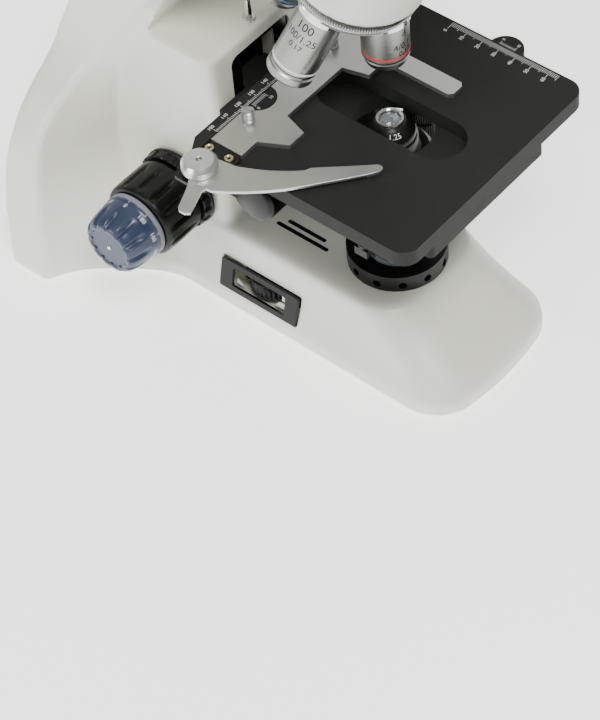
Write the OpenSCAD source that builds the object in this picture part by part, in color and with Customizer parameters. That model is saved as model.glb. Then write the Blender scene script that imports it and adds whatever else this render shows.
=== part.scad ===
// Upright laboratory microscope with coaxial focus, mechanical stage,
// condenser, four-place turret and binocular head.
// Z is up, the optical axis is at x = 0, y = 0 and the table is at z = 0.
// The operator sits on the -Y side.

/* [Stand] */
// height of the stage top above the table
stage_top = 148; // [140:1:160]
// height of the rubber feet
foot_h = 3; // [2:0.5:6]
// width of the nose of the base
nose_w = 97; // [88:1:110]
// distance from the optical axis to the front of the base
nose_front = 70; // [62:1:80]
// height of the flat top of the nose above the table
nose_top = 48; // [44:1:52]
// overall width of the rear wings
wing_w = 190; // [160:1:210]
// height of the rear wings
wing_h = 132; // [110:1:134]
// distance from the optical axis to the back of the wings
wing_back = 195; // [188:1:205]
// width of the focus column
column_w = 77; // [70:1:84]
// distance from the optical axis to the front face of the column
column_front = 82; // [80:1:90]
// distance from the optical axis to the back of the column
column_back = 150; // [146:1:156]
// rise of the column top above the stage top
column_rise = 14; // [10:1:18]
// width of the upper arm
arm_w = 72; // [60:1:76]
// thickness of the bottom plate
plate_t = 2; // [1.5:0.5:3]
// diameter of a rubber foot
foot_d = 16; // [12:1:20]

/* [Focus] */
// distance from the optical axis to the focus shaft
focus_y = 109.7; // [106:0.1:114]
// height of the focus shaft above the table
focus_z = 65.5; // [60:0.5:72]
// diameter of the torque ring
torque_d = 46; // [40:1:50]
// length of the torque ring
torque_len = 7; // [5:0.5:10]
// diameter of the coarse knobs
coarse_d = 43; // [36:1:48]
// length of the coarse knobs
coarse_len = 25; // [18:1:30]
// diameter of the fine knobs
fine_d = 37; // [30:1:40]
// diameter of the free end of the fine knobs
fine_end_d = 32.5; // [26:0.5:36]
// length of the fine knobs
fine_len = 23; // [16:1:28]
// diameter of the fine focus shaft
shaft_d = 6; // [5:0.5:8]
// outer diameter of the coarse focus sleeve
sleeve_d = 12; // [10:0.5:16]
// diameter of the pinion that lifts the stage
pinion_d = 18; // [16:1:20]

/* [Stage] */
// width of the stage
stage_w = 140; // [120:1:160]
// distance from the optical axis to the front edge of the stage
stage_front = 66.3; // [60:0.1:70]
// distance from the optical axis to the rear edge of the stage
stage_back = 64; // [60:0.5:66]
// corner radius of the stage
stage_r = 9; // [5:0.5:12]
// thickness of the top plate
top_t = 9; // [8:0.5:12]
// thickness of the lower plate
lower_t = 8.8; // [7:0.2:11]
// width of the lower plate
lower_w = 88; // [80:1:96]
// width of the light slot
slot_w = 28; // [26:1:32]
// length of the light slot
slot_len = 85.8; // [80:0.2:92]
// thickness of the slide holder plate
holder_t = 3; // [2:0.2:4]
// diameter of the knurled pivot cap of the spring finger
cap_d = 20; // [16:1:24]
// diameter of the stage drive knobs
drive_d = 22; // [18:1:26]

/* [Condenser] */
// diameter of the condenser body
cond_d = 42; // [38:1:44]
// diameter of the condenser top lens mount
cond_tip_d = 17; // [14:0.5:20]
// diameter of the condenser focus knob
cond_knob_d = 26; // [20:1:28]
// length of the condenser focus knob
cond_knob_len = 17; // [12:1:20]
// diameter of the lamp collar
collar_d = 52; // [46:1:56]
// height of the lamp collar
collar_h = 10; // [8:0.5:11]

/* [Turret] */
// height of the point where the objective axes meet, above the stage top
apex_rise = 122.5; // [118:0.5:128]
// tilt of the turret axis
turret_tilt = 20.3; // [18:0.1:22]
// diameter of the turret grip ring
turret_d = 64; // [60:1:68]
// distance from that point to the objective shoulders
shoulder = 59.5; // [56:0.5:62]
// diameter of an objective
obj_d = 23.5; // [20:0.5:25]
// length of the lowest power objective
low_len = 27; // [24:0.5:34]
// length of the highest power objective
high_len = 45; // [42:0.5:46]

/* [Head] */
// viewing angle of the eye tubes above the horizontal
view_angle = 30; // [20:1:45]
// spacing of the eye tubes
eye_gap = 64; // [56:1:74]
// distance from the hinge of the head to each tube
arm_r = 37.5; // [37:0.5:42]
// outer diameter of the eye tubes
tube_d = 30; // [28:0.5:34]
// diameter of the eyepieces
eye_d = 35; // [32:0.5:38]
// diameter of the dovetail under the head
dove_d = 44; // [40:1:50]

/* [Fits] */
// gap between pieces that move past each other
gap = 0.3; // [0.2:0.05:0.5]
// radial gap of a shaft in its bore
fit = 0.05; // [0.02:0.01:0.1]

/* [Output] */
// piece to draw

/* [Hidden] */
$fn = 64;
e = 0.02;
hn = nose_w/2;
hc = column_w/2;
col_top = stage_top + column_rise;
wall = 3.5;
apex_z = stage_top + apex_rise;
face_z = apex_z - shoulder;
head_z = apex_z + 30;
lip = foot_h + 8;
plateau = nose_top;
nose_back = 112;

torque_x = hc + 1.7;
coarse_x = torque_x + torque_len + 1.3;
fine_x = coarse_x + coarse_len + gap;
fine_end = fine_x + fine_len;

plate_z = stage_top - top_t;
lower_top = plate_z - 0.2;
lower_z = lower_top - lower_t;
bracket_face = column_front - gap;
rack_in = 92;
lift_low = 8;
lift_high = 16;
slide_low = 66;
slide_high = stage_top - 20;

cond_y = 46.4;
cond_z = stage_top - 44.4;
carrier_z = stage_top - 62;

charcoal = [0.20, 0.20, 0.19];
black = [0.09, 0.09, 0.09];
ivory = [0.86, 0.87, 0.83];
steel = [0.72, 0.73, 0.73];
satin = [0.66, 0.67, 0.65];
slate = [0.34, 0.38, 0.48];
brass = [0.76, 0.62, 0.35];
glass = [0.70, 0.80, 0.85];
rubber = [0.12, 0.12, 0.12];
red = [0.75, 0.12, 0.10];

// ---------- helpers ----------
function turn(n, k) = 360*k/n;
function mirror_x(p) = [for (i = [len(p) - 1:-1:0]) [-p[i][0], p[i][1]]];
function bez(a, b, c, n) =
  [for (i = [0:n]) let(t = i/n) (1 - t)*(1 - t)*a + 2*t*(1 - t)*b + t*t*c];

// solid through a stack of outlines, each [z, points] with the same count
module loft(secs) {
  n = len(secs[0][1]);
  m = len(secs);
  pts = [for (s = secs) for (p = s[1]) [p[0], p[1], s[0]]];
  bottom = [for (j = [0:n - 1]) j];
  top = [for (j = [n - 1:-1:0]) (m - 1)*n + j];
  sides = [for (i = [0:m - 2]) for (j = [0:n - 1])
    [i*n + j, (i + 1)*n + j, (i + 1)*n + (j + 1) % n, i*n + (j + 1) % n]];
  polyhedron(points = pts, faces = concat([bottom, top], sides), convexity = 8);
}

// block with upright rounded corners
module block(x0, x1, y0, y1, z0, z1, r) {
  translate([x0 + r, y0, z0]) cube([x1 - x0 - 2*r, y1 - y0, z1 - z0]);
  translate([x0, y0 + r, z0]) cube([x1 - x0, y1 - y0 - 2*r, z1 - z0]);
  for (x = [x0 + r, x1 - r])
    for (y = [y0 + r, y1 - r])
      translate([x, y, z0]) cylinder(h = z1 - z0, r = r);
}

module box(x0, x1, y0, y1, z0, z1) {
  translate([x0, y0, z0]) cube([x1 - x0, y1 - y0, z1 - z0]);
}

// cylinder along X from x0 to x1
module rod_x(x0, x1, y, z, d1, d2) {
  translate([x0, y, z]) rotate([0, 90, 0]) cylinder(h = x1 - x0, d1 = d1, d2 = d2);
}

module post(x, y, z0, z1, d) {
  translate([x, y, z0]) cylinder(h = z1 - z0, d = d);
}

// frame whose Z runs down the turret axis from the meeting point
module on_turret() {
  translate([0, 0, apex_z]) rotate([180 + turret_tilt, 0, 0]) children();
}

// frame whose Z runs down one objective axis, k = 0 is the working place
module on_place(k) {
  on_turret() rotate([0, 0, 90*k]) rotate([-turret_tilt, 0, 0]) children();
}

// frame of the eye tubes, Z runs up the tubes towards the operator
hinge_y = -20;
hinge_z = head_z + 38;
module on_head() {
  translate([0, hinge_y, hinge_z]) rotate([90 - view_angle, 0, 0]) children();
}
tube_x = eye_gap/2;
tube_y = -sqrt(arm_r*arm_r - tube_x*tube_x);

// ---------- stand ----------
function nose_outline(w, f) = [
  [w, nose_back], [-w, nose_back], [-w, -f + 16], [-w + 2.5, -f + 9],
  [-w + 8, -f + 4.5], [-w + 20, -f + 1.6], [-12, -f], [12, -f],
  [w - 20, -f + 1.6], [w - 8, -f + 4.5], [w - 2.5, -f + 9], [w, -f + 16]];

function nose_level(t) = lip + t*(plateau - lip);

module base_shell() {
  color(ivory) difference() {
    loft([
      [foot_h, nose_outline(hn, nose_front)],
      [lip, nose_outline(hn, nose_front)],
      [lip + 0.2, nose_outline(hn - 0.9, nose_front - 1.5)],
      [nose_level(0.10), nose_outline(hn - 2.2, nose_front - 4)],
      [nose_level(0.25), nose_outline(hn - 4.8, nose_front - 10)],
      [nose_level(0.50), nose_outline(hn - 7.8, nose_front - 21)],
      [nose_level(0.80), nose_outline(hn - 9.4, nose_front - 33)],
      [nose_level(0.95), nose_outline(hn - 10.2, nose_front - 39)],
      [plateau, nose_outline(hn - 11.5, nose_front - 41)]]);
    box(-hn + 6.5, hn - 6.5, -nose_front + 12, 108, foot_h - 1, 18);
    box(-hn + 14, hn - 14, -nose_front + 44, 108, 17, plateau - 4);
    box(-hc + wall, hc - wall, 88, nose_back + 1, foot_h - 1, plateau + 1);
    post(0, 0, plateau - 10, plateau + 1, collar_d - 8);
    box(-hn - 1, -hn + 14.5, 30, 85, 12, 31.6);
  }
}

// bottom plate under the nose
module bottom_plate() {
  color(black) difference() {
    union() {
      box(-hn + 7, hn - 7, -nose_front + 12.5, 107.5, foot_h, foot_h + plate_t);
      box(-hc + wall + gap, hc - wall - gap, 107, column_back - 5 - gap, foot_h, foot_h + plate_t);
      box(-83.7, 83.7, 171.5, wing_back - 10.5, foot_h, foot_h + plate_t);
    }
    for (p = screw_at) post(p[0], p[1], foot_h - 1, foot_h + plate_t + 1, 3);
  }
}
screw_at = [[-36, -48], [36, -48], [-36, 98], [36, 98]];
feet_at = [[0, 0], [-34, -34], [34, -34], [-80, 180], [80, 180]];

module rubber_feet() {
  color(rubber) for (p = feet_at) post(p[0], p[1], 0, foot_h, foot_d);
}

module base_screws() {
  color(steel) for (p = screw_at) {
    post(p[0], p[1], foot_h - 1.6, foot_h, 5.6);
    post(p[0], p[1], foot_h, foot_h + plate_t + 4, 3);
  }
}

function wing_half(w, r, yr, s) = concat(
  [[hc, column_back], [hc, nose_back + 37*s], [hn - 8*s, nose_back + 37*s]],
  bez([hn - 8*s, nose_back + 37*s], [hn - 7*s + 2, 161], [w, 164], 6),
  [[w, 170], [r, yr - 12], [r - 3, yr - 5], [r - 10, yr - 1.2], [r*0.4, yr]]);
split_y = 167;
function fairing_outline(w, r, yr, s) = let(
  k = wing_w/190,
  full = wing_half(w*k, r*k, yr, s),
  h = concat([for (i = [0:2]) full[i]], [for (i = [4:9]) full[i]], [[w*k, split_y]]))
  concat(h, mirror_x(h));
function rear_outline(w, r, yr) = let(
  k = wing_w/190,
  h = [[w*k, split_y], [w*k, 170], [r*k, yr - 12], [r*k - 3, yr - 5], [r*k - 10, yr - 1.2],
    [r*k*0.4, yr]])
  concat(h, mirror_x(h));

wing_levels = [
  [0, 94.2, 94.0, 0, 0], [8, 95, 94.6, 0, 0], [8.2, 94.1, 93.7, -0.8, 0.03],
  [14, 94.1, 93.6, -1, 0.20], [22, 94.1, 93.4, -1.4, 0.45], [32, 94, 93.0, -2, 0.75],
  [42, 93.8, 92.4, -2.6, 1], [57, 93.2, 91.2, -3.6, 1], [72, 91.6, 88.6, -5, 1],
  [85, 88.6, 84.2, -6.4, 1], [97, 84, 78.0, -7.8, 1], [107, 77.5, 70.0, -9.2, 1],
  [115, 70, 61.5, -10.6, 1], [122, 61, 52.5, -12.2, 1], [127, 51, 44.0, -14, 1],
  [129, 44, 38.5, -15, 1]];

// hollow flare between the column and the wings
module side_fairing() {
  zk = (wing_h - foot_h)/129;
  color(ivory) loft([for (v = wing_levels)
    [foot_h + (v[0] == 8 ? 7.5 : v[0] == 8.2 ? 9.5 : v[0])*zk,
      fairing_outline(v[1], v[2], wing_back + v[3], v[0] == 8.2 ? 0.06 : v[4])]]);
}

module rear_housing() {
  zk = (wing_h - foot_h)/129;
  color(ivory) difference() {
    loft([for (v = wing_levels)
      [foot_h + v[0]*zk, rear_outline(v[1], v[2], wing_back + v[3])]]);
    box(-84, 84, 171, wing_back - 10, foot_h - 1, 70*zk);
    box(14, 44, wing_back - 12, wing_back + 3, 25, 47);
    box(-40, -14, wing_back - 12, wing_back + 3, 28, 44);
    box(-64, -47, wing_back - 12, wing_back + 3, 28, 44);
  }
}

module column() {
  color(ivory) difference() {
    union() {
      block(-hc, hc, column_front, column_back - 8, plateau, col_top, 5);
      box(-hc, hc, column_front + 12, column_back, plateau, col_top);
      box(-hc, hc, nose_back, column_back, foot_h, plateau + 1);
    }
    box(-hc + wall, hc - wall, column_front + 8, column_back - 5, plateau - 1, col_top - 6);
    box(-hc + wall, hc - wall, nose_back - 1, column_back - 5, foot_h - 1, plateau);
    box(-hc + wall, hc - wall, 95, column_back + 1, 20, wing_h - 34);
    box(-22, 22, column_front - 1, column_front + 4, plateau + 2, stage_top + 6);
    box(-16, 16, column_front, column_front + 9, plateau + 2, stage_top + 5);
    rod_x(-hc - 1, hc + 1, focus_y, focus_z, sleeve_d + 2*fit, sleeve_d + 2*fit);
    post(0, 88, col_top - 7, col_top + 1, 4 + 2*fit);
  }
}

// glossy panel in the front face of the column
module slot_liner() {
  color(black) difference() {
    box(-21.8, 21.8, column_front + 1, column_front + 4, plateau + 2.2, stage_top + 5.8);
    box(-13.5, 13.5, column_front, column_front + 5, slide_low - lift_low - 3, slide_high + lift_high + 3);
  }
}

module limit_screw() {
  color(steel) {
    post(0, 88, col_top - 6.5, col_top + 15, 4);
    post(0, 88, col_top + 0.2, col_top + 3, 6.8);
    post(0, 88, col_top + 15, col_top + 21, 8);
  }
}

module arm() {
  a = apex_z - 270.5;
  color(ivory) difference() {
    translate([-arm_w/2, 0, 0]) rotate([90, 0, 90]) linear_extrude(height = arm_w) polygon([
      [column_back, wing_h], [wing_back - 16, wing_h], [187, wing_h + 4], [174, 158], [162, 180],
      [150, 201 + a], [136, 223 + a], [118, 244 + a], [96, 262 + a], [70, 278 + a], [38, 290 + a],
      [38, 247 + a], [60, 240 + a], [80, 227 + a], [98, 209 + a], [110, 190 + a],
      [117, 174 + a], [119, col_top], [column_back, col_top]]);
    on_turret() translate([0, 0, 12]) cylinder(h = 27.4, d = turret_d + 3);
  }
}

// casting that carries the turret below and the head above
module nose_housing() {
  color(ivory) difference() {
    union() {
      post(0, 0, apex_z - 8, head_z, 74);
      on_turret() translate([0, 0, 12]) cylinder(h = 27.4, d = turret_d + 3);
      box(-arm_w/2, arm_w/2, 4, 38, apex_z - 23.5, head_z - 10.5);
    }
    post(0, 0, head_z - 6, head_z + 1, dove_d + 2*fit);
    post(0, 0, apex_z - 60, head_z, 22);
    translate([0, 0, head_z - 3.2]) rotate([0, 0, -30]) rod_x(20, 40, 0, 0, 4 + 2*fit, 4 + 2*fit);
    on_turret() cylinder(h = 60, d = 10 + 2*fit);
  }
}

module lamp_collar() {
  color(black) difference() {
    union() {
      post(0, 0, plateau, plateau + collar_h, collar_d);
      post(0, 0, plateau - 5, plateau + 1, collar_d - 8);
    }
    post(0, 0, plateau - 6, plateau + collar_h + 1, 30);
    post(0, 0, plateau + collar_h - 3, plateau + collar_h + 1, 40);
    for (k = [0:11]) rotate([0, 0, turn(12, k) + 15])
      rod_x(22, collar_d, 0, plateau + 4, 4.4, 4.4);
  }
}

module field_lens() {
  color(glass) {
    post(0, 0, plateau + 1, plateau + 5, 30);
    post(0, 0, plateau - 4.6, plateau - 1, 28);
  }
}

module lamp_socket() {
  color(black) difference() {
    union() {
      post(0, 0, foot_h + plate_t, foot_h + plate_t + 12, 34);
      post(0, 0, foot_h + plate_t + 12, plateau - 14, 12);
      box(-20, 20, 30, 70, foot_h + plate_t, foot_h + plate_t + 2);
      box(-10, 10, 16, 32, foot_h + plate_t, foot_h + plate_t + 2);
    }
    post(0, 0, foot_h + plate_t + 14, plateau - 13, 6);
  }
}

// ---------- switches and supply ----------
bezel_tilt = 14;
module on_bezel() {
  translate([-hn + 1.6, 57.5, 12.8]) rotate([0, bezel_tilt, 0]) children();
}
module dimmer_bezel() {
  color(black) on_bezel() difference() {
    box(0, 2.5, -26, 26, 0, 18);
    box(-1, 3.5, -19, 19, 3.5, 15);
  }
}
dimmer_x = -31.4;
module dimmer_wheel() {
  color(black) difference() {
    union() {
      post(dimmer_x, 57.5, 17.4, 26.6, 27);
      post(dimmer_x, 57.5, 16, 17.4, 8);
    }
    post(dimmer_x, 57.5, 15, 27, 4);
  }
}

module power_inlet() {
  y = wing_back - 3;
  color(black) difference() {
    union() {
      box(14.2, 43.8, y - 20, y - 1.2, 25.2, 46.8);
      box(15.5, 42.5, y - 20.5, y - 1, 26.5, 45.5);
    }
    box(17, 41, y - 15, y + 4, 28, 44);
  }
  color(steel) for (x = [22, 29, 36])
    box(x - 1, x + 1, y - 15, y - 6, (x == 29) ? 38 : 32, (x == 29) ? 41 : 35);
}

module fuse_drawer() {
  y = wing_back - 3;
  color(black) {
    box(-63.8, -47.2, y - 18, y - 1.2, 28.2, 43.8);
    box(-58, -53, y - 2, y - 0.6, 34, 38);
  }
}

module rocker_switch() {
  y = wing_back - 3;
  color(black) difference() {
    union() {
      box(-38, -16, y - 8, y - 0.6, 30, 42);
      post(-27, y - 4, 29, 43, 5);
    }
    translate([-27, y + 3, 29]) cylinder(h = 14, r = 4.4);
  }
}

// ---------- focus ----------
module torque_ring() {
  color(black) difference() {
    rod_x(-torque_x - torque_len, -torque_x, focus_y, focus_z, torque_d, torque_d);
    rod_x(-torque_x - torque_len - 1, -torque_x + 1, focus_y, focus_z, 20, 20);
    for (k = [0:17]) translate([0, focus_y, focus_z]) rotate([turn(18, k), 0, 0])
      rod_x(-torque_x - torque_len - 1, -torque_x - 1.5, torque_d/2 + 0.6, 0, 3, 3);
  }
}

module coarse_drive() {
  color(steel) difference() {
    union() {
      rod_x(-coarse_x - 8, coarse_x + 8, focus_y, focus_z, sleeve_d, sleeve_d);
      rod_x(-9, 9, focus_y, focus_z, pinion_d, pinion_d);
    }
    rod_x(-coarse_x - 9, coarse_x + 9, focus_y, focus_z, shaft_d + 2*fit, shaft_d + 2*fit);
  }
}

module coarse_knobs() {
  color(black) for (s = [-1, 1]) difference() {
    union() {
      if (s < 0) rod_x(-coarse_x - coarse_len, -coarse_x, focus_y, focus_z, coarse_d, coarse_d - 1.5);
      if (s > 0) rod_x(coarse_x, coarse_x + coarse_len, focus_y, focus_z, coarse_d - 1.5, coarse_d);
    }
    if (s < 0) rod_x(-coarse_x - 8, -coarse_x + 1, focus_y, focus_z, sleeve_d, sleeve_d);
    if (s > 0) rod_x(coarse_x - 1, coarse_x + 8, focus_y, focus_z, sleeve_d, sleeve_d);
    rod_x(-fine_end, fine_end, focus_y, focus_z, shaft_d + 2*gap, shaft_d + 2*gap);
    for (k = [0:11]) translate([0, focus_y, focus_z]) rotate([turn(12, k), 0, 0])
      rod_x(s > 0 ? coarse_x + 4 : -coarse_x - coarse_len + 4,
        s > 0 ? coarse_x + coarse_len - 4 : -coarse_x - 4, coarse_d/2 + 1.4, 0, 5, 5);
  }
}

module fine_shaft() {
  color(steel) rod_x(-fine_x - 12, fine_x + 12, focus_y, focus_z, shaft_d, shaft_d);
}

module fine_knobs() {
  color(slate) for (s = [-1, 1]) difference() {
    union() {
      if (s < 0) {
        rod_x(-fine_x - 5, -fine_x, focus_y, focus_z, fine_d, fine_d);
        rod_x(-fine_end, -fine_x - 5, focus_y, focus_z, fine_end_d, fine_d - 1);
      }
      if (s > 0) {
        rod_x(fine_x, fine_x + 5, focus_y, focus_z, fine_d, fine_d);
        rod_x(fine_x + 5, fine_end, focus_y, focus_z, fine_d - 1, fine_end_d);
      }
    }
    rod_x(-fine_x - 12, fine_x + 12, focus_y, focus_z, shaft_d, shaft_d);
    rod_x(s > 0 ? fine_end - 1 : -fine_end - 1, s > 0 ? fine_end + 1 : -fine_end + 1,
      focus_y, focus_z, fine_end_d - 6, fine_end_d - 6);
  }
}

// ---------- stage ----------
module stage_bracket() {
  color(charcoal) difference() {
    union() {
      box(-34, 34, 62.5, bracket_face, 70, lower_z);
      for (s = [-1, 1]) box(s > 0 ? 28 : -34, s > 0 ? 34 : -28, 34, 63, 92, lower_z);
      box(-12.5, 12.5, bracket_face - 1, rack_in, slide_low, slide_high);
      box(-9, 9, rack_in - 1, focus_y - pinion_d/2 - gap, slide_low, slide_high);
    }
    box(-5.06, 5.06, 61, 68.3, 69, lower_z + 1);
    rod_x(-35, 35, cond_y, cond_z, 6 + 2*fit, 6 + 2*fit);
  }
}

module lower_plate() {
  h = lower_w/2;
  color(charcoal) difference() {
    union() {
      block(-51, -51 + lower_w, -stage_front + 1, 60, lower_z, lower_top, 3);
      box(-34, 34, 58, bracket_face - 14, lower_z, lower_top);
      for (x = [-44, 30]) box(x - 3, x + 3, -stage_front + 17, 52, lower_top - 1, lower_top + 2.6);
      box(36, 62, 6, 34, lower_z, lower_top);
    }
    post(0, 0, lower_z - 1, lower_top + 1, cond_d + 2);
    post(50, 20, lower_z - 1, lower_top + 1, 12 + 2*fit);
  }
}

module vernier_tab() {
  color(black) {
    box(-51 + lower_w, stage_w/2 + 1, -26, -7, lower_top - 2.8, lower_top);
    difference() {
      post(stage_w/2 + 0.4, -16.6, lower_top - 2.8, plate_z + 7, 18.8);
      box(stage_w/2 - 12, stage_w/2 + gap, -30, 0, lower_top, plate_z + 8);
      box(stage_w/2 - 12, stage_w/2 + 0.3, -30, 0, lower_top - 4, plate_z + 8);
    }
  }
}

module top_plate() {
  color(charcoal) difference() {
    block(-stage_w/2, stage_w/2, -stage_front, stage_back, plate_z, stage_top, stage_r);
    box(-slot_w/2, slot_w/2, -slot_len/2 - 1 + slot_w/2, slot_len/2 - 1 - slot_w/2, plate_z - 1, stage_top + 1);
    for (s = [-1, 1]) post(0, -1 + s*(slot_len/2 - slot_w/2), plate_z - 1, stage_top + 1, slot_w);
    for (x = [-44, 30]) box(x - 3 - fit, x + 3 + fit, -stage_front + 4, stage_back + 1, plate_z - 1, plate_z + 2.6);
  }
}

bar_y = 56.6;
module guide_bar() {
  color(black) translate([0, 0, stage_top]) linear_extrude(height = holder_t)
    polygon([[-80, bar_y], [stage_w/2 - 3, bar_y], [stage_w/2 - 3, bar_y + 7], [-70, bar_y + 7], [-80, bar_y + 1.2]]);
}

// plate of the slide holder with its fixed finger and two teeth
module holder_plate() {
  color(satin) translate([0, 0, stage_top + 0.25]) difference() {
    linear_extrude(height = holder_t - 0.25) polygon([
      [-66.6, bar_y - gap], [-66.6, 37], [-55.1, 37.2], [-47.5, 22.8], [-37, 22.8], [-32.8, 36.8],
      [8.8, 36.8], [12.6, 22.6], [24.4, 22.6], [24.4, -16.8], [26.4, -18.8],
      [32.9, -18.8], [34.9, -16.8], [34.9, 54.5], [33.2, bar_y - gap]]);
    translate([-31.3, bar_y, 1.4]) cylinder(h = 3, d = 18.9);
    translate([-46.1, 50, -1]) cylinder(h = 5, d = 3.4);
    translate([17.8, 50, -1]) cylinder(h = 5, d = 3.4);
  }
}

module thumb_screws() {
  color(black) for (x = [-46.1, 17.8]) {
    post(x, 50, stage_top + holder_t, stage_top + holder_t + 7, 6.5);
    post(x, 50, stage_top + 0.4, stage_top + holder_t, 3.4);
  }
}

cap_x = -85.2;
cap_y = 47;
module hinge_plate() {
  color(black) difference() {
    block(-95.2, -66.6, 36.2, bar_y - gap, stage_top + 0.4, stage_top + 2.2, 3);
    post(cap_x, cap_y, stage_top - 1, stage_top + 3, 4 + 2*fit);
    for (y = [40.9, 52.2]) post(-71.6, y, stage_top - 1, stage_top + 3, 2.6);
  }
}

module clip_screws() {
  color(brass) for (y = [40.9, 52.2]) {
    post(-71.6, y, stage_top + 2.2, stage_top + 3.4, 5);
    post(-71.6, y, stage_top + 0.5, stage_top + 2.2, 2.6);
  }
}

module spring_finger() {
  z0 = stage_top + 2.2 + gap;
  color(satin) difference() {
    union() {
      translate([0, 0, z0]) linear_extrude(height = 1.8) polygon([
        [-76, 40.5], [-70.2, 34.5], [-62, 21.5], [-53.2, 8.2], [-50.2, 7.2], [-41, -4], [-30.4, -16.6],
        [-29.6, -19.4], [-31.2, -22], [-34.6, -22], [-37.2, -18.6], [-54.7, -2.8], [-69.7, 9.7],
        [-79.7, 21], [-88, 31], [-92, 39.5]]);
      translate([0, 0, z0]) linear_extrude(height = 1.8) polygon([
        [-94.6, 43], [-92, 39], [-104, 28.5], [-110.5, 30.5], [-112.4, 37.6], [-100, 44.5], [-94, 50]]);
      post(cap_x, cap_y, z0, z0 + 1.8, min(cap_d, 2*(bar_y - gap - cap_y)));
      translate([0, 0, stage_top + 0.6]) linear_extrude(height = 2.2) polygon([
        [-34.2, -12.6], [-30.4, -16.6], [-29.6, -19.4], [-31.2, -22], [-34.6, -22], [-38.6, -17.2]]);
    }
    post(cap_x, cap_y, stage_top, z0 + 5, 4);
  }
}

module pivot_cap() {
  z0 = stage_top + 4 + gap;
  color(steel) difference() {
    union() {
      post(cap_x, cap_y, stage_top + 0.5, z0 + 1, 4);
      post(cap_x, cap_y, z0, z0 + 2.6, cap_d);
      translate([cap_x, cap_y, z0 + 2.6]) cylinder(h = 3, d1 = cap_d, d2 = cap_d - 6);
    }
    post(cap_x, cap_y, z0 + 4, z0 + 6, 3);
  }
}

// coaxial drive under the right side of the stage
module stage_drive_y() {
  color(black) difference() {
    union() {
      post(50, 20, lower_z - 32, lower_z - 18, drive_d);
      post(50, 20, lower_z - 19, lower_top - 0.5, 12);
    }
    post(50, 20, lower_z - 33, lower_top, 6 + 2*fit);
  }
}

module stage_drive_x() {
  color(black) {
    post(50, 20, lower_z - 47, lower_z - 32 - gap, drive_d - 3);
    post(50, 20, lower_z - 33, lower_top - 0.8, 6);
  }
}

// ---------- condenser ----------
module condenser_carrier() {
  z = carrier_z;
  color(black) difference() {
    union() {
      post(0, 0, z, z + 10, cond_d + 11);
      box(-10, 10, 20, 62, z - 2, z + 6);
      box(-10, 10, 52, 62.5 - gap, z - 2, z + 32);
      box(-5, 5, 62, 68, z - 2, z + 32);
      post(-24, 0, z - 15.8, z + 1, 3);
    }
    post(0, 0, z - 3, z + 11, cond_d);
  }
}

module condenser_body() {
  z = carrier_z;
  color(black) difference() {
    union() {
      post(0, 0, z - 8, lower_z - 7, cond_d);
      translate([0, 0, lower_z - 7]) cylinder(h = lower_top - lower_z + 5, d1 = cond_d, d2 = slot_w - 1);
      translate([0, 0, lower_top - 2]) cylinder(h = stage_top - 2.6 - lower_top + 2, d1 = slot_w - 1, d2 = cond_tip_d);
    }
    post(0, 0, z - 9, stage_top, 11);
    post(0, 0, z - 9, z + 10, 32);
  }
}

module condenser_lens() {
  color(glass) {
    post(0, 0, stage_top - 9, stage_top - 2.8, 11);
    post(0, 0, carrier_z + 4, carrier_z + 8, 32);
  }
}

module iris_ring() {
  z = carrier_z + 14;
  color(black) difference() {
    union() {
      post(0, 0, z, z + 5, cond_d + 6);
      rotate([0, 0, -125]) rod_x(22, 34, 0, z + 2.5, 3.5, 3.5);
    }
    post(0, 0, z - 1, z + 6, cond_d + 2*fit);
  }
}

module filter_tray() {
  z = carrier_z - 15.3;
  color(black) difference() {
    union() {
      post(0, 0, z, z + 5, 40);
      box(-28, -8, -4, 4, z, z + 5);
      post(-24, 0, z, z + 7, 8);
    }
    post(0, 0, z + 2, z + 6, 33);
    post(0, 0, z - 1, z + 3, 29);
    post(-24, 0, z - 1, z + 8, 3 + 2*fit);
  }
}

module condenser_knob() {
  color(black) {
    rod_x(-37 - gap - cond_knob_len, -37 - gap, cond_y, cond_z, cond_knob_d, cond_knob_d);
    rod_x(-37.5, 36, cond_y, cond_z, 6, 6);
    rod_x(-8, 8, cond_y, cond_z, 10, 10);
  }
}

// ---------- turret ----------
module turret() {
  color(steel) on_turret() difference() {
    union() {
      rotate_extrude($fn = 96) polygon([
        [0, 39.9], [turret_d/2 - 3, 39.9], [turret_d/2 - 3, 47], [31, 49.2],
        [28, 50.6], [23, 53.0], [17, 55.0], [10, 56.6], [0, 57.2]]);
      cylinder(h = 45, d = 10);
      for (k = [0:3]) rotate([0, 0, 90*k]) rotate([-turret_tilt, 0, 0])
        translate([0, 0, 55]) cylinder(h = shoulder - 55, d = 25);
    }
    for (k = [0:3]) rotate([0, 0, 90*k]) rotate([-turret_tilt, 0, 0])
      translate([0, 0, 47]) cylinder(h = shoulder, d = 20);
  }
}

module turret_ring() {
  color(steel) on_turret() difference() {
    translate([0, 0, 40]) cylinder(h = 7, d = turret_d);
    translate([0, 0, 39]) cylinder(h = 9, d = turret_d - 6 + 0.1);
  }
}

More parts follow.
